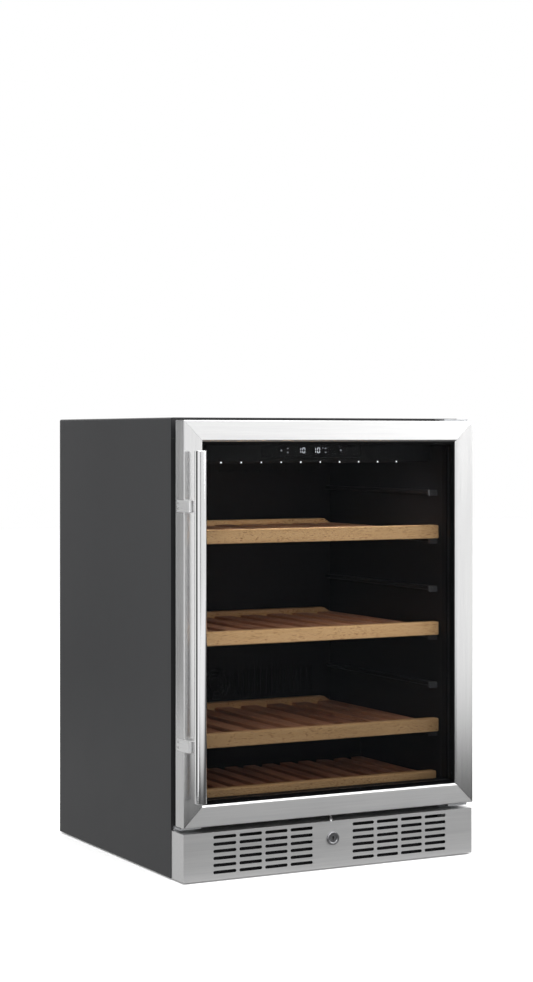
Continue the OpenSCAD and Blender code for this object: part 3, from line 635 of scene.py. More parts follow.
def grow(name, recipe, material, body, slot, points=(), replaces=(), **sizes):
    """Grows a recipe on some points, and takes the result as one plain mesh."""
    seed = bpy.data.meshes.new(name + "_points")
    seed.from_pydata([tuple(p) for p in points], [], [])
    holder = bpy.data.objects.new(name + "_points", seed)
    bpy.context.scene.collection.objects.link(holder)
    modifier = holder.modifiers.new("recipe", "NODES")
    modifier.node_group = recipe
    for item in recipe.interface.items_tree:
        if item.in_out == "INPUT" and item.socket_type != "NodeSocketGeometry":
            modifier[item.identifier] = material if item.name == "Finish" else sizes[item.name]
    graph = bpy.context.evaluated_depsgraph_get()
    mesh = bpy.data.meshes.new_from_object(holder.evaluated_get(graph), depsgraph=graph)
    holder.modifiers.remove(modifier)
    bpy.data.objects.remove(holder)
    grown = piece(name, mesh, material, body, replaces)
    print(name, "grown with", len(mesh.polygons), "faces")
    return grown


# %% [markdown]
# ## Camera, floor and light
#
# The camera stands a little below the cooler's top and to its left, level, so that
# upright edges stay upright. Its lens and place come from matching the cooler's corners.
# A pale floor and three soft lights make a plain studio. Two weak lamps behind the glass,
# which neither the camera nor a mirror sees, bring out the wood of the shelves.

# %% Camera
VIEW_TURN = math.radians(29.163)
SENSOR, LENS = 36.0, 80.828
SHIFT_RIGHT, SHIFT_UP = -0.1054, -0.0543
camera_data = bpy.data.cameras.new("camera")
camera = bpy.data.objects.new("camera", camera_data)
bpy.context.scene.collection.objects.link(camera)
camera_data.sensor_width = SENSOR
camera_data.lens = LENS
camera_data.shift_x, camera_data.shift_y = SHIFT_RIGHT, SHIFT_UP
camera.location = (-1.8936, casing_low[1] - 3.5842, 0.784)
camera.rotation_euler = (math.pi / 2, 0.0, -VIEW_TURN)
bpy.context.scene.camera = camera
bpy.context.scene.view_settings.view_transform = "Standard"
print("lens:", round(camera_data.lens, 1), "mm")


# %% Floor and light
def grey(level):
    return rgba(level, level, level)


def stage_sheet(name, corners, finish):
    """A flat sheet with four corners that belongs to the studio, not to the cooler."""
    mesh = bpy.data.meshes.new(name)
    mesh.from_pydata(corners, [], [(0, 1, 2, 3)])
    mesh.materials.append(finish.material)
    sheet_object = bpy.data.objects.new(name, mesh)
    bpy.context.scene.collection.objects.link(sheet_object)
    return sheet_object


def pale_floor():
    """A white floor that glows a little, so that its far edge melts into the background."""
    size = 14.0
    glow = {"Emission_Color": grey(1.0), "Emission_Strength": 0.16}
    finish = Finish("studio_floor", grey(0.9), 0.7, **glow)
    cloud = finish.noise((2.0, 2.0, 2.0), detail=2.0)
    finish.feed("Base Color", finish.tree.blend(cloud, grey(0.93), grey(0.9)))
    corners = [(-size, -size, 0), (size, -size, 0), (size, size, 0), (-size, size, 0)]
    return stage_sheet("floor", corners, finish)


def soft_light(name, place, target, size, power):
    data = bpy.data.lights.new(name, "AREA")
    data.shape = "RECTANGLE"
    data.size, data.size_y = size
    data.energy = power
    light = bpy.data.objects.new(name, data)
    light.location = place
    aim = Vector(target) - Vector(place)
    light.rotation_euler = aim.to_track_quat("-Z", "Y").to_euler()
    bpy.context.scene.collection.objects.link(light)
    return light


def studio_sky():
    """White behind the object, and a softer grey for what the object mirrors."""
    world = bpy.data.worlds.new("studio")
    world.use_nodes = True
    bpy.context.scene.world = world
    tree = Tree(world.node_tree)
    background = world.node_tree.nodes["Background"]
    direction = tree.add("ShaderNodeTexCoord", output="Generated")
    height = tree.add("ShaderNodeSeparateXYZ", inputs={0: direction}, output="Z")
    stops = [(0.0, grey(0.5)), (0.47, grey(0.85)), (0.52, grey(0.98)), (1.0, grey(1.0))]
    mirrored = tree.add("ShaderNodeValToRGB", {"stops": stops}, {"Fac": height * 0.5 + 0.5})
    seen = tree.add("ShaderNodeLightPath", output="Is Camera Ray")
    tree.feed(background.inputs["Color"], tree.blend(seen, mirrored, grey(1.0)))


floor = pale_floor()
studio_sky()
soft_light("overhead", (0.0, -0.5, 4.2), (0.0, 0.0, 0.0), (5.0, 5.0), 170.0)
soft_light("front_left", (-2.2, -3.4, 2.6), (0.0, 0.0, 0.5), (1.6, 2.2), 40.0)
soft_light("front_right", (2.8, -2.6, 1.8), (0.0, 0.0, 0.45), (1.2, 2.4), 30.0)
behind_glass = (0.0, back_pane_high[1] + 0.004, 0.45)
under_roof = (0.0, casing_low[1] + 0.05, 0.73)
front_fill = soft_light("front_fill", behind_glass, (0.0, 1.0, 0.2), (0.5, 0.6), 0.45)
roof_fill = soft_light("roof_fill", under_roof, (0.0, casing_low[1] + 0.25, 0.2), (0.42, 0.03), 0.9)
for light in (front_fill, roof_fill):
    light.visible_camera = False
    light.visible_glossy = False
print("studio ready")

# %% [markdown]
# ### Cards that only mirrors see
#
# Steel looks like steel because of what it mirrors, so a studio puts grey cards round it.
# These cards are seen by glossy rays alone: a floor that is darker close to the cooler, a
# wall at the left with bright and dark bands, and a dark strip behind the camera.


# %% Cards
def card(name, corners, axis, stops, start, length):
    """A glowing sheet whose grey changes along one axis, hidden from the camera."""
    glowing = {"Emission_Strength": 1.0, "Specular_IOR_Level": 0.0}
    finish = Finish(name, grey(0.0), 1.0, **glowing)
    along = finish.tree.add("ShaderNodeSeparateXYZ", inputs={0: finish.place}, output=axis)
    along = (along - start) * (1.0 / length)
    ramp = [(place, grey(level)) for place, level in stops]
    glow = finish.tree.add("ShaderNodeValToRGB", {"stops": ramp}, {"Fac": along})
    finish.feed("Emission Color", glow)
    sheet_object = stage_sheet(name, corners, finish)
    for ray in ("camera", "diffuse", "shadow", "transmission", "volume_scatter"):
        setattr(sheet_object, "visible_" + ray, False)


floor.visible_glossy = False
LOW = -0.002
floor_corners = [(-5, -7, LOW), (6, -7, LOW), (6, 4, LOW), (-5, 4, LOW)]
floor_greys = [(0.0, 1.0), (0.4, 0.95), (0.62, 0.6), (0.74, 0.1), (0.93, 0.04), (1.0, 0.5)]
card("floor_card", floor_corners, "Y", floor_greys, casing_low[1] - 4.0, 4.0)
LEFT = -1.2
left_corners = [(LEFT, -1, 0), (LEFT, 3, 0), (LEFT, 3, 2.4), (LEFT, -1, 2.4)]
left_greys = [(0.0, 1.0), (0.05, 0.03), (0.2, 0.03), (0.26, 0.95), (0.6, 0.92), (0.68, 0.3),
              (0.8, 0.04)]
card("left_card", left_corners, "Y", left_greys, -0.5, 3.0)
strip_corners = [(-2.9, -5.0, 0), (-2.1, -5.3, 0), (-2.1, -5.3, 2.0), (-2.9, -5.0, 2.0)]
card("back_strip", strip_corners, "Z", [(0.0, 0.05), (1.0, 0.12)], 0.0, 2.0)

# %% [markdown]
# ## The casing
#
# Two sides and the roof are bent from one sheet. The bends at the top have a radius, and
# the sheet's front edges are thin, so the outline is drawn as a U with rounded corners
# and pushed from front to back.


# %% The casing
def casing_outline():
    out_r, wall = 3.5 * MM, sheet
    left, right = casing_low[0], casing_high[0]
    low, high = casing_low[2], casing_high[2]
    corners = [(left, low, 0), (left, high, out_r), (right, high, out_r), (right, low, 0),
               (right - wall, low, 0), (right - wall, high - wall, out_r - wall),
               (left + wall, high - wall, out_r - wall), (left + wall, low, 0)]
    return rounded(corners, 0, steps=6)


casing_mesh = extruded("casing_shell", casing_outline(), 1, casing_low[1], casing_high[1])
piece("casing_shell", casing_mesh, CASING_PAINT, "cabinet", ["outer_casing"])
print("casing points:", len(casing_mesh.vertices))

# %% [markdown]
# ## The door's steel frame
#
# Each member is a folded pan: a flat face, a deep outer side, and an inner lip that is
# bevelled towards the glass. The section is drawn once, with its bend radii, and the four
# members are cut from it with mitred ends. Their brushing runs along their length. The
# bottom member is also bored, so that the lock's bolt can rise into it.


# %% Frame members
def member_section():
    w, d, t = member_width, member_depth, sheet
    lip, inner = 3.0 * MM, pane_front - 0.3 * MM
    corners = [(0, d, 0), (0, 0, 1.6 * MM), (w - lip, 0, 1.2 * MM), (w, lip, 0.8 * MM), (w, inner, 0),
               (w - t, inner, 0), (w - t, lip + 0.4 * MM, 0), (w - lip - 0.5 * MM, t, 0), (t, t, 0),
               (t, d, 0)]
    return rounded(corners, 0, steps=5)


def bored(mesh, place, radius, length):
    """Cuts an upright hole through a mesh, as a drill would."""
    work = bpy.data.objects.new(mesh.name + "_work", mesh)
    drill = turned("bit", [(radius, -length), (radius, length)], place, 2, 32)
    bit = bpy.data.objects.new("bit", drill)
    for obj in (work, bit):
        bpy.context.scene.collection.objects.link(obj)
    cut = work.modifiers.new("bore", "BOOLEAN")
    cut.operation, cut.solver, cut.object = "DIFFERENCE", "EXACT", bit
    graph = bpy.context.evaluated_depsgraph_get()
    result = bpy.data.meshes.new_from_object(work.evaluated_get(graph), depsgraph=graph)
    for obj in (work, bit):
        bpy.data.objects.remove(obj)
    return result


bolt_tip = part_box("lock_bolt")[1][2]
tip_points = [v.co for v in NODES["lock_bolt"].data.vertices if v.co.z > bolt_tip - 0.1 * MM]
tip_x, tip_y = ([p[i] for p in tip_points] for i in (0, 1))
bolt_radius = (max(tip_x) - min(tip_x)) / 2
bolt_hole = ((max(tip_x) + min(tip_x)) / 2, (max(tip_y) + min(tip_y)) / 2, door_low)
print("bolt:", round(2 * bolt_radius / MM, 1), "mm across")
for side in SIDES:
    upright = side in ("left", "right")
    skin = mitred(f"door_skin_{side}", member_section(), [side])
    if side == "bottom":
        skin = bored(skin, bolt_hole, bolt_radius + 0.5 * MM, 5 * MM)
    finish = STEEL_UPRIGHT if upright else STEEL_ACROSS
    piece(f"door_skin_{side}", skin, finish, "door", [f"door_frame_{side}"])
print("frame members: 4, faces each:", len(skin.polygons))

# %% [markdown]
# ## Glass, its printed border and the spacer
#
# The panes keep their design shape. A black border is printed round the outer pane to
# hide the seal, so it is a thin mitred ring on the glass. The aluminium spacer between
# the panes has a row of small breathing holes, which a recipe sets along its inner face.

# %% Panes and border
for node, finish in (("outer_glass", OUTER_GLASS), ("inner_glass", INNER_GLASS)):
    NODES[node].data.materials.clear()
    NODES[node].data.materials.append(finish)


def flat_section(near, far, front, back):
    return [(near, front), (far, front), (far, back), (near, back)]


border_far = member_width + 3.2 * MM
border = flat_section(pane_edge + 0.5 * MM, border_far, pane_front - 0.12 * MM, pane_front - 0.01 * MM)
piece("glass_border", mitred("glass_border", border, gap=0.0), BORDER_BLACK, "door")


# %% Spacer holes
def hole_row_recipe():
    recipe = Recipe("spacer_holes", Radius=float, Depth=float)
    sockets = {"Vertices": 8, "Radius": recipe.size["Radius"], "Depth": recipe.size["Depth"]}
    dot = recipe.add("GeometryNodeMeshCylinder", inputs=sockets)
    turn = recipe.add("GeometryNodeInputPosition")
    x = recipe.add("ShaderNodeSeparateXYZ", inputs={0: turn}, output="X")
    edge = half_width - member_width - 12.0 * MM
    beyond = {0: x * x, 1: edge * edge}
    upright = recipe.add("FunctionNodeCompare", {"operation": "GREATER_THAN"}, beyond)
    angles = recipe.add("GeometryNodeSwitch", {"input_type": "VECTOR"},
                        {0: upright, 1: (0.0, 0.0, 0.0), 2: (0.0, math.pi / 2, 0.0)})
    return recipe.serve(recipe.on_points(dot, Rotation=angles))


spacer_low, spacer_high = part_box("glass_spacer")
spacer_inner = half_width - (pane_edge + 13.0 * MM)
spacer_depth = (spacer_low[1] + spacer_high[1]) / 2
hole_pitch = 4.0 * MM
low_edge = door_low + pane_edge + 13.0 * MM
high_edge = door_high - pane_edge - 13.0 * MM
uprights = int((high_edge - low_edge) / hole_pitch)
levels = int(2 * spacer_inner / hole_pitch)
hole_places = [(s * spacer_inner, spacer_depth, low_edge + (k + 0.5) * hole_pitch)
               for s in (-1, 1) for k in range(uprights)]
hole_places += [(-spacer_inner + (k + 0.5) * hole_pitch, spacer_depth, z)
                for z in (low_edge, high_edge) for k in range(levels)]
grow("spacer_holes", hole_row_recipe(), GREY_AND_RAIL_HIGHLIGHT, "door", "black_plastic", hole_places,
     Radius=0.7 * MM, Depth=0.3 * MM)

# %% [markdown]
# ## The door's liner and gasket
#
# Behind the steel is a black plastic frame, and on it sits the magnetic gasket. The
# gasket is a soft hollow bellows: two folds and a flat magnet strip that meets the
# cabinet. Its section has deep round grooves that show from the side.


# %% Liner and gasket
def liner_section():
    liner_low, liner_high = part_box("door_liner")
    edge = half_width - liner_high[0]
    front, back = liner_low[1] - door_face, liner_high[1] - door_face
    inner = pane_edge + 12.5 * MM
    step = member_depth + 0.2 * MM
    corners = [(edge, step, 0.6 * MM), (pane_edge, step, 0), (pane_edge, front, 0),
               (inner, front, 0.8 * MM), (inner, back, 1.6 * MM), (edge, back, 1.6 * MM)]
    return rounded(corners, 0, steps=4)


def gasket_section():
    gasket_low, gasket_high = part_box("door_gasket")
    edge = half_width - gasket_high[0]
    front, back = gasket_low[1] - door_face, gasket_high[1] - door_face
    fold = (back - front) / 6
    outer, inner = edge, edge + 18.0 * MM
    waist = 3.0 * MM
    left = [(outer + waist * (k % 2 == 0), front + k * fold, fold * 0.4) for k in range(5)]
    left += [(outer, back, 0.8 * MM)]
    right = [(inner - waist * (k % 2 == 0), front + k * fold, fold * 0.4) for k in range(5)]
    right += [(inner, back, 0.8 * MM)]
    return rounded(left + right[::-1], 0, steps=3)


liner_ring = mitred("door_liner_ring", liner_section(), gap=0.0)
piece("door_liner_ring", liner_ring, TRIM_BLACK, "door", ["door_liner"])
gasket_ring = mitred("gasket_bellows", gasket_section(), gap=0.0)
piece("gasket_bellows", gasket_ring, RUBBER_AND_SHADE, "door", ["door_gasket"])
print("gasket faces:", len(gasket_ring.polygons))

# %% [markdown]
# ## The handle
#
# A polished round bar stands off the door on two straps that are let into its side.
# The bar is turned, with a small chamfer at each end. Each strap is an angle: its long leg
# lies in the door, its short leg turns behind the bar, and a round stub joins the two.

# %% Bar and straps
bar_low, bar_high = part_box("handle_bar")
bar_radius = (bar_high[0] - bar_low[0]) / 2
bar_axis = ((bar_low[0] + bar_high[0]) / 2, (bar_low[1] + bar_high[1]) / 2)
bar_length = bar_high[2] - bar_low[2]


def bar_profile(radius, length, chamfer=1.2 * MM):
    near = [(0.0, 0.0), (radius - chamfer, 0.0)]
    near += [(radius - chamfer + chamfer * math.sin(a), chamfer - chamfer * math.cos(a))
             for a in [math.radians(15 * k) for k in range(1, 7)]]
    return near + [(r, length - t) for r, t in reversed(near)]


bar_mesh = turned("handle_tube", bar_profile(bar_radius, bar_length)[1:-1],
                  (bar_axis[0], bar_axis[1], bar_low[2]), 2)
piece("handle_tube", bar_mesh, POLISHED, "door", ["handle_bar"])

strap_low, strap_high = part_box("handle_straps")
strap_height = 20.5 * MM
strap_middles = [strap_low[2] + strap_height / 2, strap_high[2] - strap_height / 2]
strap_back = strap_high[1]
strap_proud = 0.6 * MM
strap_thick = 5.5 * MM
stub_radius = 4 * MM


def strap_outline():
    """The angle seen from above, with a small radius in the bend."""
    outer, inner = -half_width - strap_proud, -half_width + strap_thick
    front, back = bar_axis[1] + bar_radius + 0.2 * MM, strap_back
    tip = strap_high[0]
    corners = [(outer, back, 0), (outer, front, 1.6 * MM), (tip, front, 0.6 * MM),
               (tip, front + strap_thick, 0.6 * MM), (inner, front + strap_thick, 0.4 * MM),
               (inner, back, 0)]
    return rounded(corners, 0, 4)


for number, middle in enumerate(strap_middles, 1):
    ends = (middle - strap_height / 2, middle + strap_height / 2)
    plate = extruded(f"handle_strap_{number}", strap_outline(), 2, *ends, 0.3 * MM)
    covered = ["handle_straps"] if number == 1 else []
    piece(f"handle_strap_{number}", plate, STEEL_STRAP, "door", covered)
    stub = turned(f"handle_stub_{number}", [(stub_radius, 0.0), (stub_radius, bar_radius)],
                  (bar_axis[0], bar_axis[1] + 1 * MM, middle), 1, 32)
    piece(f"handle_stub_{number}", stub, STEEL_STRAP, "door")
print("straps at", [round(z, 3) for z in strap_middles])

# %% [markdown]
# ## Screws
#
# One recipe makes a countersunk head with a cross recess: a short cone, less a cross that
# is cut by a Boolean. It is set on every point, turned to face out of its panel.


# %% Screw recipe
def screw_recipe():
    recipe = Recipe("screw_head", Radius=float, Height=float, Turn_X=float, Turn_Y=float)
    sockets = {"Vertices": 24, "Radius Top": recipe.size["Radius"] * 0.72,
               "Radius Bottom": recipe.size["Radius"], "Depth": recipe.size["Height"]}
    head = recipe.add("GeometryNodeMeshCone", inputs=sockets)
    size = recipe.size["Radius"]
    lift = recipe.add("ShaderNodeCombineXYZ", inputs={2: recipe.size["Height"]})
    for x, y in ((1.1, 0.26), (0.26, 1.1)):
        sides = recipe.add("ShaderNodeCombineXYZ", inputs={0: size * x, 1: size * y, 2: size * 0.9})
        arm = recipe.add("GeometryNodeMeshCube", inputs={"Size": sides})
        arm = recipe.add("GeometryNodeTransform", inputs={"Geometry": arm, "Translation": lift})
        head = recipe.add("GeometryNodeMeshBoolean", {"operation": "DIFFERENCE"}, {0: head, 1: arm})
    turns = {0: recipe.size["Turn_X"], 1: recipe.size["Turn_Y"]}
    turn = recipe.add("ShaderNodeCombineXYZ", inputs=turns)
    return recipe.serve(recipe.on_points(head, Rotation=turn))


SCREW = screw_recipe()
QUARTER = math.pi / 2
strap_screws = [(-half_width - strap_proud - 0.1 * MM, strap_back - 5 * MM, z + side * 5 * MM)
                for z in strap_middles for side in (-1, 1)]
grow("strap_screw_heads", SCREW, SCREW_STEEL, "door", "bright_screws", strap_screws,
     Radius=2.4 * MM, Height=0.7 * MM, Turn_X=0.0, Turn_Y=-QUARTER)

# %% Cabinet screws
rear_y = casing_high[1]
cover_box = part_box("rear_cover")
panel_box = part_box("back_panel")
screw_x = half_width - sheet - 12 * MM
rear_levels = [cover_box[0][2] + 8 * MM, panel_box[0][2] - 10 * MM, panel_box[0][2] + 14 * MM,
               casing_high[2] - 24 * MM]
rear_screws = [(s * screw_x, rear_y + 0.1 * MM, z) for s in (-1, 1) for z in rear_levels]
grow("rear_screw_heads", SCREW, SCREW_STEEL, "cabinet", "bright_screws", rear_screws,
     ["cabinet_screws"], Radius=3.6 * MM, Height=0.9 * MM, Turn_X=-QUARTER, Turn_Y=0.0)

hinge_x = sum(corner[0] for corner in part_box("hinge_bushes")) / 2
flange_y = casing_low[1] - 4 * MM
hinge_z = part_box("insulation_foam")[0][2] - 8 * MM
hinge_screws = [(s * (hinge_x - inset * MM), flange_y - 0.6 * MM, hinge_z)
                for s in (-1, 1) for inset in (5, 25)]
duct_low, duct_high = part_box("evaporator_cover")
duct_screws = [(s * (duct_high[0] - 15 * MM), duct_low[1] - 0.5 * MM, z)
               for s in (-1, 1) for z in (duct_low[2] + 18 * MM, duct_high[2] - 19 * MM)]
grow("front_screw_heads", SCREW, SCREW_STEEL, "cabinet", "bright_screws", hinge_screws + duct_screws,
     Radius=3.5 * MM, Height=1.2 * MM, Turn_X=QUARTER, Turn_Y=0.0)

# %% [markdown]
# ## Plinth, hinge plates and lock
#
# The plinth and the hinge plates keep their design shapes, with eased edges. A dark sheet
# behind each field of slots is painted shade for the unlit inside of the machine. The lock
# gets a turned rim with a rounded lip, and a plug whose keyhole is already cut.

# %% Plinth and hinge plates
eased_copy("plinth_face", "plinth_grille", 0.45 * MM, STEEL_ACROSS, "cabinet")
eased_copy("hinge_plates", "hinge_brackets", 0.4 * MM, ZINC, "cabinet")

# %% Dark sheets behind the slots, painted shade
plinth_low, plinth_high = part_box("plinth_grille")
shade_sheet_front = plinth_low[1] + 8 * MM
for side, name in ((-1, "filter_mat_left"), (1, "filter_mat_right")):
    ends = sorted((side * 22 * MM, side * (plinth_high[0] - 4 * MM)))
    shade_sheet = [(ends[0], plinth_low[2] + 1 * MM), (ends[1], plinth_low[2] + 1 * MM),
           (ends[1], plinth_high[2] - 12 * MM), (ends[0], plinth_high[2] - 12 * MM)]
    shade_sheet_mesh = extruded(name, shade_sheet, 1, shade_sheet_front, shade_sheet_front + 1 * MM)
    # These sheets wear the dark rubber colour as painted shade behind the slots.
    piece(name, shade_sheet_mesh, RUBBER_AND_SHADE, "cabinet")

# %% The lock
rim_low, rim_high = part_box("lock_housing")
rim_radius = (rim_high[0] - rim_low[0]) / 2
lock_middle = ((rim_low[0] + rim_high[0]) / 2, rim_low[2] + rim_radius)
lock_front = rim_low[1]
rim_lip = [(7.3 * MM, 2.4 * MM), (7.3 * MM, 0.2 * MM), (7.6 * MM, -0.2 * MM), (9.0 * MM, -0.9 * MM),
           (10.6 * MM, -0.9 * MM), (11.7 * MM, -0.2 * MM), (12.2 * MM, 0.8 * MM), (12.2 * MM, 2.4 * MM)]


rim_mesh = turned("lock_rim", rim_lip, (lock_middle[0], lock_front, lock_middle[1]), 1, ring=True)
piece("lock_rim", rim_mesh, LOCK_STEEL, "cabinet")
print("lock rim:", round(2 * rim_radius / MM, 1), "mm across")

# %% [markdown]
# ## Levelling feet
#
# A foot is a turned rubber pad on a threaded stem. The stem's thread is a row of ridges
# in the same profile, so one turned shape makes the whole foot.


# %% Feet
def foot_profile(radius, stem, length):
    pad = [(radius - 1.5 * MM, 0.0), (radius, 1.5 * MM), (radius, 3.8 * MM),
           (radius - 2 * MM, 4.8 * MM), (radius * 0.68, 5.4 * MM), (radius * 0.66, 8 * MM),
           (stem, 8.2 * MM)]
    pitch = 1.5 * MM
    turns = int((length - 10 * MM) / pitch)
    thread = []
    for k in range(turns):
        start = 9 * MM + k * pitch
        thread += [(stem - 0.5 * MM, start), (stem, start + pitch / 2)]
    return pad + thread + [(stem - 1 * MM, length)]


for foot in ("front_foot_left", "front_foot_right", "rear_foot_left", "rear_foot_right"):
    foot_low, foot_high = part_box(foot)
    centre = ((foot_low[0] + foot_high[0]) / 2, (foot_low[1] + foot_high[1]) / 2, foot_low[2])
    profile = foot_profile((foot_high[0] - foot_low[0]) / 2, 5 * MM, foot_high[2] - foot_low[2])
    mesh = turned(foot + "_pad", profile, centre, 2, 40)
    piece(foot + "_pad", mesh, RUBBER_AND_SHADE, foot, [foot])
print("feet: 4")

# %% [markdown]
# ## Shelves
#
# A shelf is carpentry: a front board, slats that run back from it, cross bars below, and
# a stop board behind. Slats repeat, so they are grown: one plank is a rounded rectangle
# swept along its length, set on a row of points, and each takes its own tone.


# %% Plank recipe
def plank_recipe():
    """Planks along Y, one on each point, which is the plank's front middle."""
    recipe = Recipe("planks", Width=float, Thickness=float, Length=float, Ease=float, Seed=int)
    size = recipe.size
    sockets = {"Width": size["Width"], "Height": size["Thickness"]}
    outline = recipe.add("GeometryNodeCurvePrimitiveQuadrilateral", inputs=sockets)
    fillet = {"Curve": outline, "Radius": size["Ease"], "Count": 3}
    outline = recipe.add("GeometryNodeFilletCurve", {"mode": "POLY"}, fillet)
    end = recipe.add("ShaderNodeCombineXYZ", inputs={1: size["Length"]})
    rail = recipe.add("GeometryNodeCurvePrimitiveLine", inputs={"Start": (0.0, 0.0, 0.0), "End": end})
    sweep = {"Curve": rail, "Profile Curve": outline, "Fill Caps": True}
    plank = recipe.add("GeometryNodeCurveToMesh", inputs=sweep)
    row = recipe.on_points(plank)
    tone = recipe.add("FunctionNodeRandomValue", {"data_type": "FLOAT"}, {"Seed": size["Seed"]}, 1)
    sockets = {"Geometry": row, "Name": "plank_tone", "Value": tone}
    settings = {"data_type": "FLOAT", "domain": "INSTANCE"}
    return recipe.serve(recipe.add("GeometryNodeStoreNamedAttribute", settings, sockets))


PLANKS = plank_recipe()


# %% Slats
def slat_places(node):
    """Front middles and the size of the slats of one shelf, from its design part."""
    corners = sorted({round(v.co.x, 5) for v in NODES[node].data.vertices})
    low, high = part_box(node)
    width = corners[1] - corners[0]
    middles = [(a + b) / 2 for a, b in zip(corners[::2], corners[1::2])]
    level = (low[2] + high[2]) / 2
    return [(x, low[1], level) for x in middles], width, high[1] - low[1], high[2] - low[2]


for number in range(1, 5):
    places, width, length, thickness = slat_places(f"shelf_{number}_slats")
    grow(f"shelf_{number}_slat_row", PLANKS, STAINED, f"shelf_{number}", "stained_slats", places,
         [f"shelf_{number}_slats"], Width=width, Thickness=thickness, Length=length,
         Ease=1.4 * MM, Seed=number * 7)

# %% [markdown]
# The front board has generously rounded long edges and ends, since hands reach past it.
# The bars and the stop board are plain sawn wood with a small ease.

# %% Boards and bars
for number in range(1, 5):
    body = f"shelf_{number}"
    eased_copy(f"{body}_board", f"{body}_front_board", 2.2 * MM, BEECH, body, 4)
    eased_copy(f"{body}_cross_bars", f"{body}_bars", 0.8 * MM, BEECH, body)
print("shelves: 4")

# %% [markdown]
# ## Inside the cavity
#
# The liner and the duct cover are moulded in black. At the front of each rail sits a small
# pale grey block, a painted highlight for the light the rail ends catch, grown as a row.

# %% Rails and painted rail-end highlights
eased_copy("rail_mouldings", "shelf_rails", 0.8 * MM, LINER_BLACK, "cabinet")


# Small blocks whose pale grey is a painted highlight on the rail ends.
def rail_highlight_recipe():
    recipe = Recipe("rail_caps", Width=float, Height=float, Depth=float)
    names = ("Width", "Depth", "Height")
    sides = recipe.add("ShaderNodeCombineXYZ", inputs={i: recipe.size[n] for i, n in enumerate(names)})
    block = recipe.add("GeometryNodeMeshCube", inputs={"Size": sides})
    return recipe.serve(recipe.on_points(block))


rail_low, rail_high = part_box("shelf_rails")
rail_tops = sorted({round(v.co.z, 4) for v in NODES["shelf_rails"].data.vertices})[2::3]
highlight_size = (17 * MM, 6 * MM, 11 * MM)
cavity_side = rail_high[0]
highlight_x, highlight_y = cavity_side - highlight_size[0] / 2, rail_low[1] - highlight_size[1] / 2
highlight_places = [(s * highlight_x, highlight_y, top - highlight_size[2] / 2) for top in rail_tops for s in (-1, 1)]
# The pale grey of these blocks paints the highlight on the rail fronts.
grow("rail_caps", rail_highlight_recipe(), GREY_AND_RAIL_HIGHLIGHT, "cabinet", "black_plastic", highlight_places,
     Width=highlight_size[0], Depth=highlight_size[1], Height=highlight_size[2])
print("rail levels:", [round(z, 3) for z in rail_tops])

# %% [markdown]
# ## Controls and lights
#
# The housing under the roof holds a smoked window with two small displays, touch signs
# beside them, and a bar of round lights along its lower edge. A display's digits are
# built from seven bars each, as the real ones are.

# %% Housing and light bar
eased_copy("housing_shell", "control_housing", 1.0 * MM, LINER_BLACK, "cabinet")
housing_low, housing_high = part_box("control_housing")
window_low, window_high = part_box("display_window")
led_low, led_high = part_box("led_strip")
lip_front, lip_top = led_low[1] + 1 * MM, housing_low[2]
lip_low, lip_ease = lip_top - 3 * MM, 1 * MM
lip = rounded([(lip_front, lip_low, lip_ease), (led_high[1], lip_low, 0), (led_high[1], lip_top, 0),
               (lip_front, lip_top, lip_ease)], 0, 3)
lip_mesh = extruded("light_bar", lip, 0, housing_low[0] + 4 * MM, housing_high[0] - 4 * MM)
piece("light_bar", lip_mesh, TRIM_BLACK, "cabinet")


def led_recipe():
    recipe = Recipe("led_domes", Radius=float)
    sockets = {"Segments": 16, "Rings": 8, "Radius": recipe.size["Radius"]}
    dome = recipe.add("GeometryNodeMeshUVSphere", inputs=sockets)
    return recipe.serve(recipe.on_points(dome))


LED_COUNT, LED_PITCH = 10, 40.7 * MM
led_y = led_low[1] + 1.4 * MM
led_places = [((k - (LED_COUNT - 1) / 2) * LED_PITCH, led_y, housing_low[2] - 1.6 * MM)
              for k in range(LED_COUNT)]
grow("led_domes", led_recipe(), LED_WHITE, "cabinet", "led_lens", led_places, ["led_strip"],
     Radius=1.4 * MM)

# %% [markdown]
# The seven bars of a digit are named by their places. Each bar is a flat six-sided shape,
# and a digit is the list of bars that are lit.

# %% Digits
BARS = {"top": (0, 2, 0), "upper_right": (1, 1, 1), "lower_right": (1, -1, 1), "bottom": (0, -2, 0),
        "lower_left": (-1, -1, 1), "upper_left": (-1, 1, 1), "middle": (0, 0, 0)}
LIT = {"1": ("upper_right", "lower_right"),
       "0": ("top", "upper_right", "lower_right", "bottom", "lower_left", "upper_left")}
digit_w, digit_h, bar_w = 5.6 * MM, 10.0 * MM, 1.0 * MM
window_front = window_low[1]
window_middle = (window_low[2] + window_high[2]) / 2


def bar_outline(x, z, upright):
    length = (digit_h / 2 if upright else digit_w) - bar_w
    long, short = length / 2, bar_w / 2
    shape = [(-long, 0), (-long + short, short), (long - short, short), (long, 0),
             (long - short, -short), (-long + short, -short)]
    return [(x + b, z + a) if upright else (x + a, z + b) for a, b in shape]


def flat_marks(name, outlines, finish):
    """Thin raised marks on the window, from outlines on X and Z."""
    mesh = prisms(name, outlines, 1, window_front - 0.15 * MM, window_front + 0.05 * MM)
    return piece(name, mesh, finish, "cabinet")


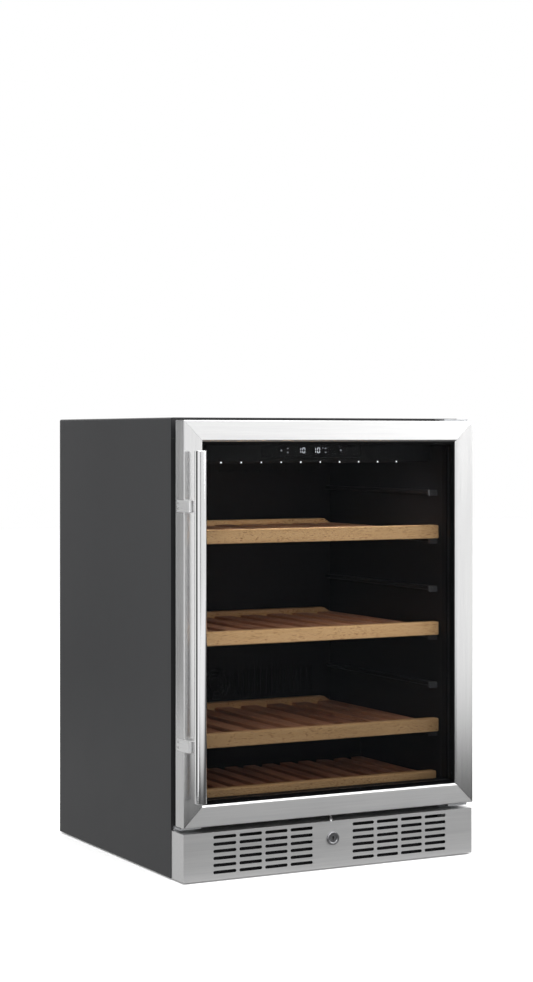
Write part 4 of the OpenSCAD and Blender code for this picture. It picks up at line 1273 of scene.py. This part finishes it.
digit_pitch = 8.4 * MM
number_middles = (-20.0 * MM, 11.0 * MM)
digit_bars = []
for middle in number_middles:
    for digit, offset in (("1", -digit_pitch / 2), ("0", digit_pitch / 2)):
        for bar in LIT[digit]:
            across, up, upright = BARS[bar]
            x = middle + offset + across * (digit_w / 2 - bar_w / 2)
            z = window_middle + up * (digit_h / 4 - (bar_w / 4 if abs(up) == 2 else 0))
            digit_bars.append(bar_outline(x, z, upright))
flat_marks("display_digits", digit_bars, DIGIT_WHITE)


# %% Touch signs
def arrow(x, z, size, up):
    tip = size if up else -size
    return [(x - size, z - tip / 2), (x, z + tip / 2), (x + size, z - tip / 2)]


def ring_dot(x, z, radius, sides=14):
    angles = [2 * math.pi * k / sides for k in range(sides)]
    return [(x + radius * math.cos(a), z + radius * math.sin(a)) for a in angles]


signs = []
for x in (-49 * MM, 30 * MM):
    signs += [arrow(x, window_middle + 4 * MM, 2.2 * MM, True)]
    signs += [arrow(x, window_middle - 4 * MM, 2.2 * MM, False)]
signs += [ring_dot(x, window_middle, 1.6 * MM) for x in (-62 * MM, 62 * MM)]
signs += [ring_dot(24 * MM, window_middle + 4.5 * MM, 0.9 * MM)]
flat_marks("touch_signs", signs, ICON_DIM)
print("display marks:", len(digit_bars) + len(signs))

# %% [markdown]
# ## Parts that keep their design shape
#
# The rest is seen through slots, or only when the cooler is taken apart. Its shapes are
# right as designed, so each part only gets its finish.

# %% Finishes for the remaining parts
KEPT = {
    CASING_PAINT: ("back_panel", "rear_cover"),
    # The base pan is given black as painted shade, so that what shows through the plinth slots stays
    # dark.
    BLACK_PAINT_AND_SHADE: ("front_flange", "compressor", "compressor_mount", "base_pan"),
    FOAM: ("insulation_foam",),
    LINER_BLACK: ("inner_liner", "evaporator_cover"),
    TRIM_BLACK: ("evaporator_fan_frame", "evaporator_fan_blades", "condenser_fan_frame",
                 "condenser_fan_blades", "power_inlet", "door_core"),
    GLOSS_BLACK: ("display_window",),
    ALUMINIUM: ("evaporator_coil",),
    BORDER_BLACK: ("glass_spacer",),
    COPPER: ("condenser_coil", "refrigerant_pipe"),
    BOARD_GREEN: ("control_board",),
    WHITE_PLASTIC: ("drain_pan",),
    LOCK_STEEL: ("lock_housing", "lock_cylinder"),
    POLISHED: ("lock_bolt",),
    NYLON: ("hinge_bushes",),
}
for finish, nodes in KEPT.items():
    for node in nodes:
        NODES[node].data.materials.clear()
        NODES[node].data.materials.append(finish)
print("design parts with a finish:", sum(len(nodes) for nodes in KEPT.values()))
